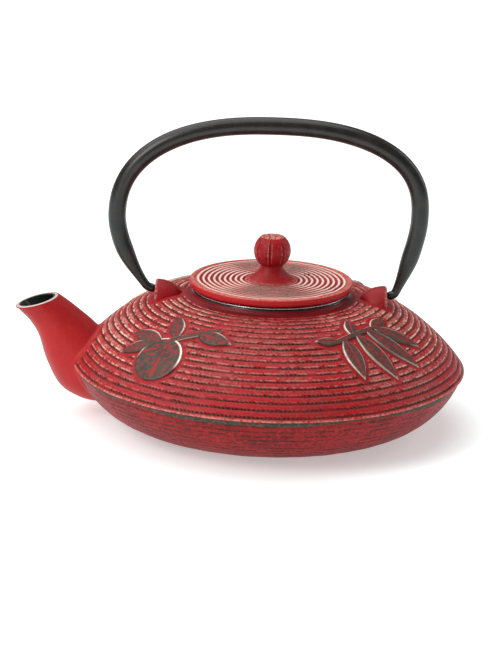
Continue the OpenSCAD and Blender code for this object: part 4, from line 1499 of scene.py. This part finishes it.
def wires(paths, closed=False):
    # four-sided wires swept along many paths at once: paths is (wires, points, 3)
    ahead = np.roll(paths, -1, 1) if closed else paths[:, [*range(1, paths.shape[1]), -1]]
    behind = np.roll(paths, 1, 1) if closed else paths[:, [0, *range(paths.shape[1] - 1)]]
    along = ahead - behind
    along /= np.linalg.norm(along, axis=-1, keepdims=True)
    guide = np.where(np.abs(along[..., 2:]) > 0.7, np.array((1.0, 0.0, 0.0)), np.array((0.0, 0.0, 1.0)))
    first = np.cross(along, guide)
    first /= np.linalg.norm(first, axis=-1, keepdims=True)
    second = np.cross(along, first)
    angles = around(4)[:, None]
    out = np.cos(angles) * first[:, :, None] + np.sin(angles) * second[:, :, None]
    skins = (paths[:, :, None] + infuser["wire"] * out).reshape(-1, 3)
    count, length = paths.shape[:2]
    faces = gridFaces(length, 4, closeRows=closed)
    if not closed:
        ends = np.array([[3, 2, 1, 0], [-4, -3, -2, -1]])
        faces = np.concatenate([faces, np.where(ends < 0, length * 4 + ends, ends)])
    allFaces = faces[None] + (np.arange(count) * length * 4)[:, None, None]
    return skins, allFaces.reshape(-1, 4)


def makeMeshWall():
    # woven wall: uprights lean in and out by a wire's thickness, hoops lie between them
    middle = infuser["radius"] - 1.5 * infuser["sheet"]
    low, high = infuser["bottom"] + 0.75 * mm, infuser["flangeTop"] - 1.5 * mm
    weave = infuser["wire"] * 0.8
    z = np.linspace(low, high, infuser["hoops"] * 2 + 1)
    a = around(infuser["uprights"])[:, None]
    r = middle + weave * np.cos(math.pi * (np.arange(len(z)) / 2 + np.arange(len(a))[:, None]))
    uprights = np.stack([r * np.cos(a), r * np.sin(a), z + 0 * r], -1)
    b = around(infuser["uprights"] * 2)
    levels = np.linspace(low, high, infuser["hoops"] + 1)[:, None]
    r = middle - weave * np.cos(math.pi * (np.arange(len(b)) / 2 + np.arange(len(levels))[:, None]))
    hoops = np.stack([r * np.cos(b), r * np.sin(b), levels + 0 * r], -1)
    makePiece("infuserMeshWall", joined([wires(uprights), wires(hoops, closed=True)]), "infuser",
              finishes["wire"], ["infuser_wall"])


def makeMeshBase():
    # woven base, cut round and held in the foot ring
    radius = infuser["radius"] - 2.4 * mm
    level = infuser["bottom"] + 0.35 * mm
    rows = np.linspace(-radius, radius, infuser["baseWires"] + 2)[1:-1, None]
    along = np.linspace(-1, 1, 61) * np.sqrt(radius ** 2 - rows ** 2)
    spacing = rows[1] - rows[0]
    wave = np.cos(math.pi * (along / spacing + np.arange(len(rows))[:, None]))
    wave = infuser["wire"] * 0.75 * wave
    across = rows + 0 * along
    skins = [wires(np.stack([along, across, level + wave], -1)),
             wires(np.stack([across, along, level - wave], -1))]
    makePiece("infuserMeshBase", joined(skins), "infuser", finishes["wire"],
              ["infuser_base_mesh"])


def makeSeam():
    # strip over the lap of the wall, with a row of weld dimples
    inner = infuser["radius"] - 2 * infuser["sheet"]
    low, high = infuser["ringTop"] + 0.2 * mm, infuser["flangeTop"] - 1.9 * mm
    x, z = np.meshgrid(np.linspace(-0.5, 0.5, 25) * infuser["seamWidth"], np.linspace(low, high, 90))
    pitch = infuser["weldPitch"]
    dots = (z - low) % pitch - pitch / 2
    dimple = 0.12 * mm * np.exp(-(x ** 2 + dots ** 2) / (0.5 * mm) ** 2)
    near = inner - 0.28 * mm + dimple
    far = inner - 0.02 * mm
    rings = np.concatenate([np.stack([x, np.sqrt(near ** 2 - x ** 2), z], -1),
                            np.stack([x, np.sqrt(far ** 2 - x ** 2), z], -1)[:, ::-1]], 1)
    ends = np.broadcast_to(rings[[0, -1]].mean(1, keepdims=True), (2, *rings.shape[1:]))
    rings = np.concatenate([ends[:1], rings, ends[1:]])
    makePiece("infuserSeam", skin(rings), "infuser", finishes["sheet"],
              ["infuser_seam"])


makeFlange()
makeFootRing()
makeMeshWall()
makeMeshBase()
makeSeam()
print("stage: infuser made")

ground = {
    "halfWidth": 3.0,
    "level": -0.05 * mm,     # a hair below the foot
    "colour": (0.80, 0.88, 0.88, 1.0),
    "glow": (1.0, 0.995, 0.99, 1.0),
    "glowStrength": 0.40,
    "tooth": 1.5 * mm,
}


def paleFloor():
    # plain matt white, with hardly any tooth
    finish = Finish("paleFloor")
    tooth = finish.noise(finish.place(), ground["tooth"], 2.0)
    return finish.surface({
        "Base Color": ground["colour"], "Roughness": 0.7 + tooth * 0.05, "Specular IOR Level": 0.2,
        "Emission Color": ground["glow"], "Emission Strength": ground["glowStrength"],
    })


def makeFloor():
    # one square on the level
    mesh = bpy.data.meshes.new("floor")
    half = ground["halfWidth"]
    mesh.from_pydata([(-half, -half, 0), (half, -half, 0), (half, half, 0), (-half, half, 0)],
                     [], [(0, 1, 2, 3)])
    mesh.materials.append(paleFloor())
    floor = bpy.data.objects.new("floor", mesh)
    floor.location = (0, 0, ground["level"])
    bpy.context.scene.collection.objects.link(floor)


makeFloor()
print("stage: floor made")

print("stage: done")
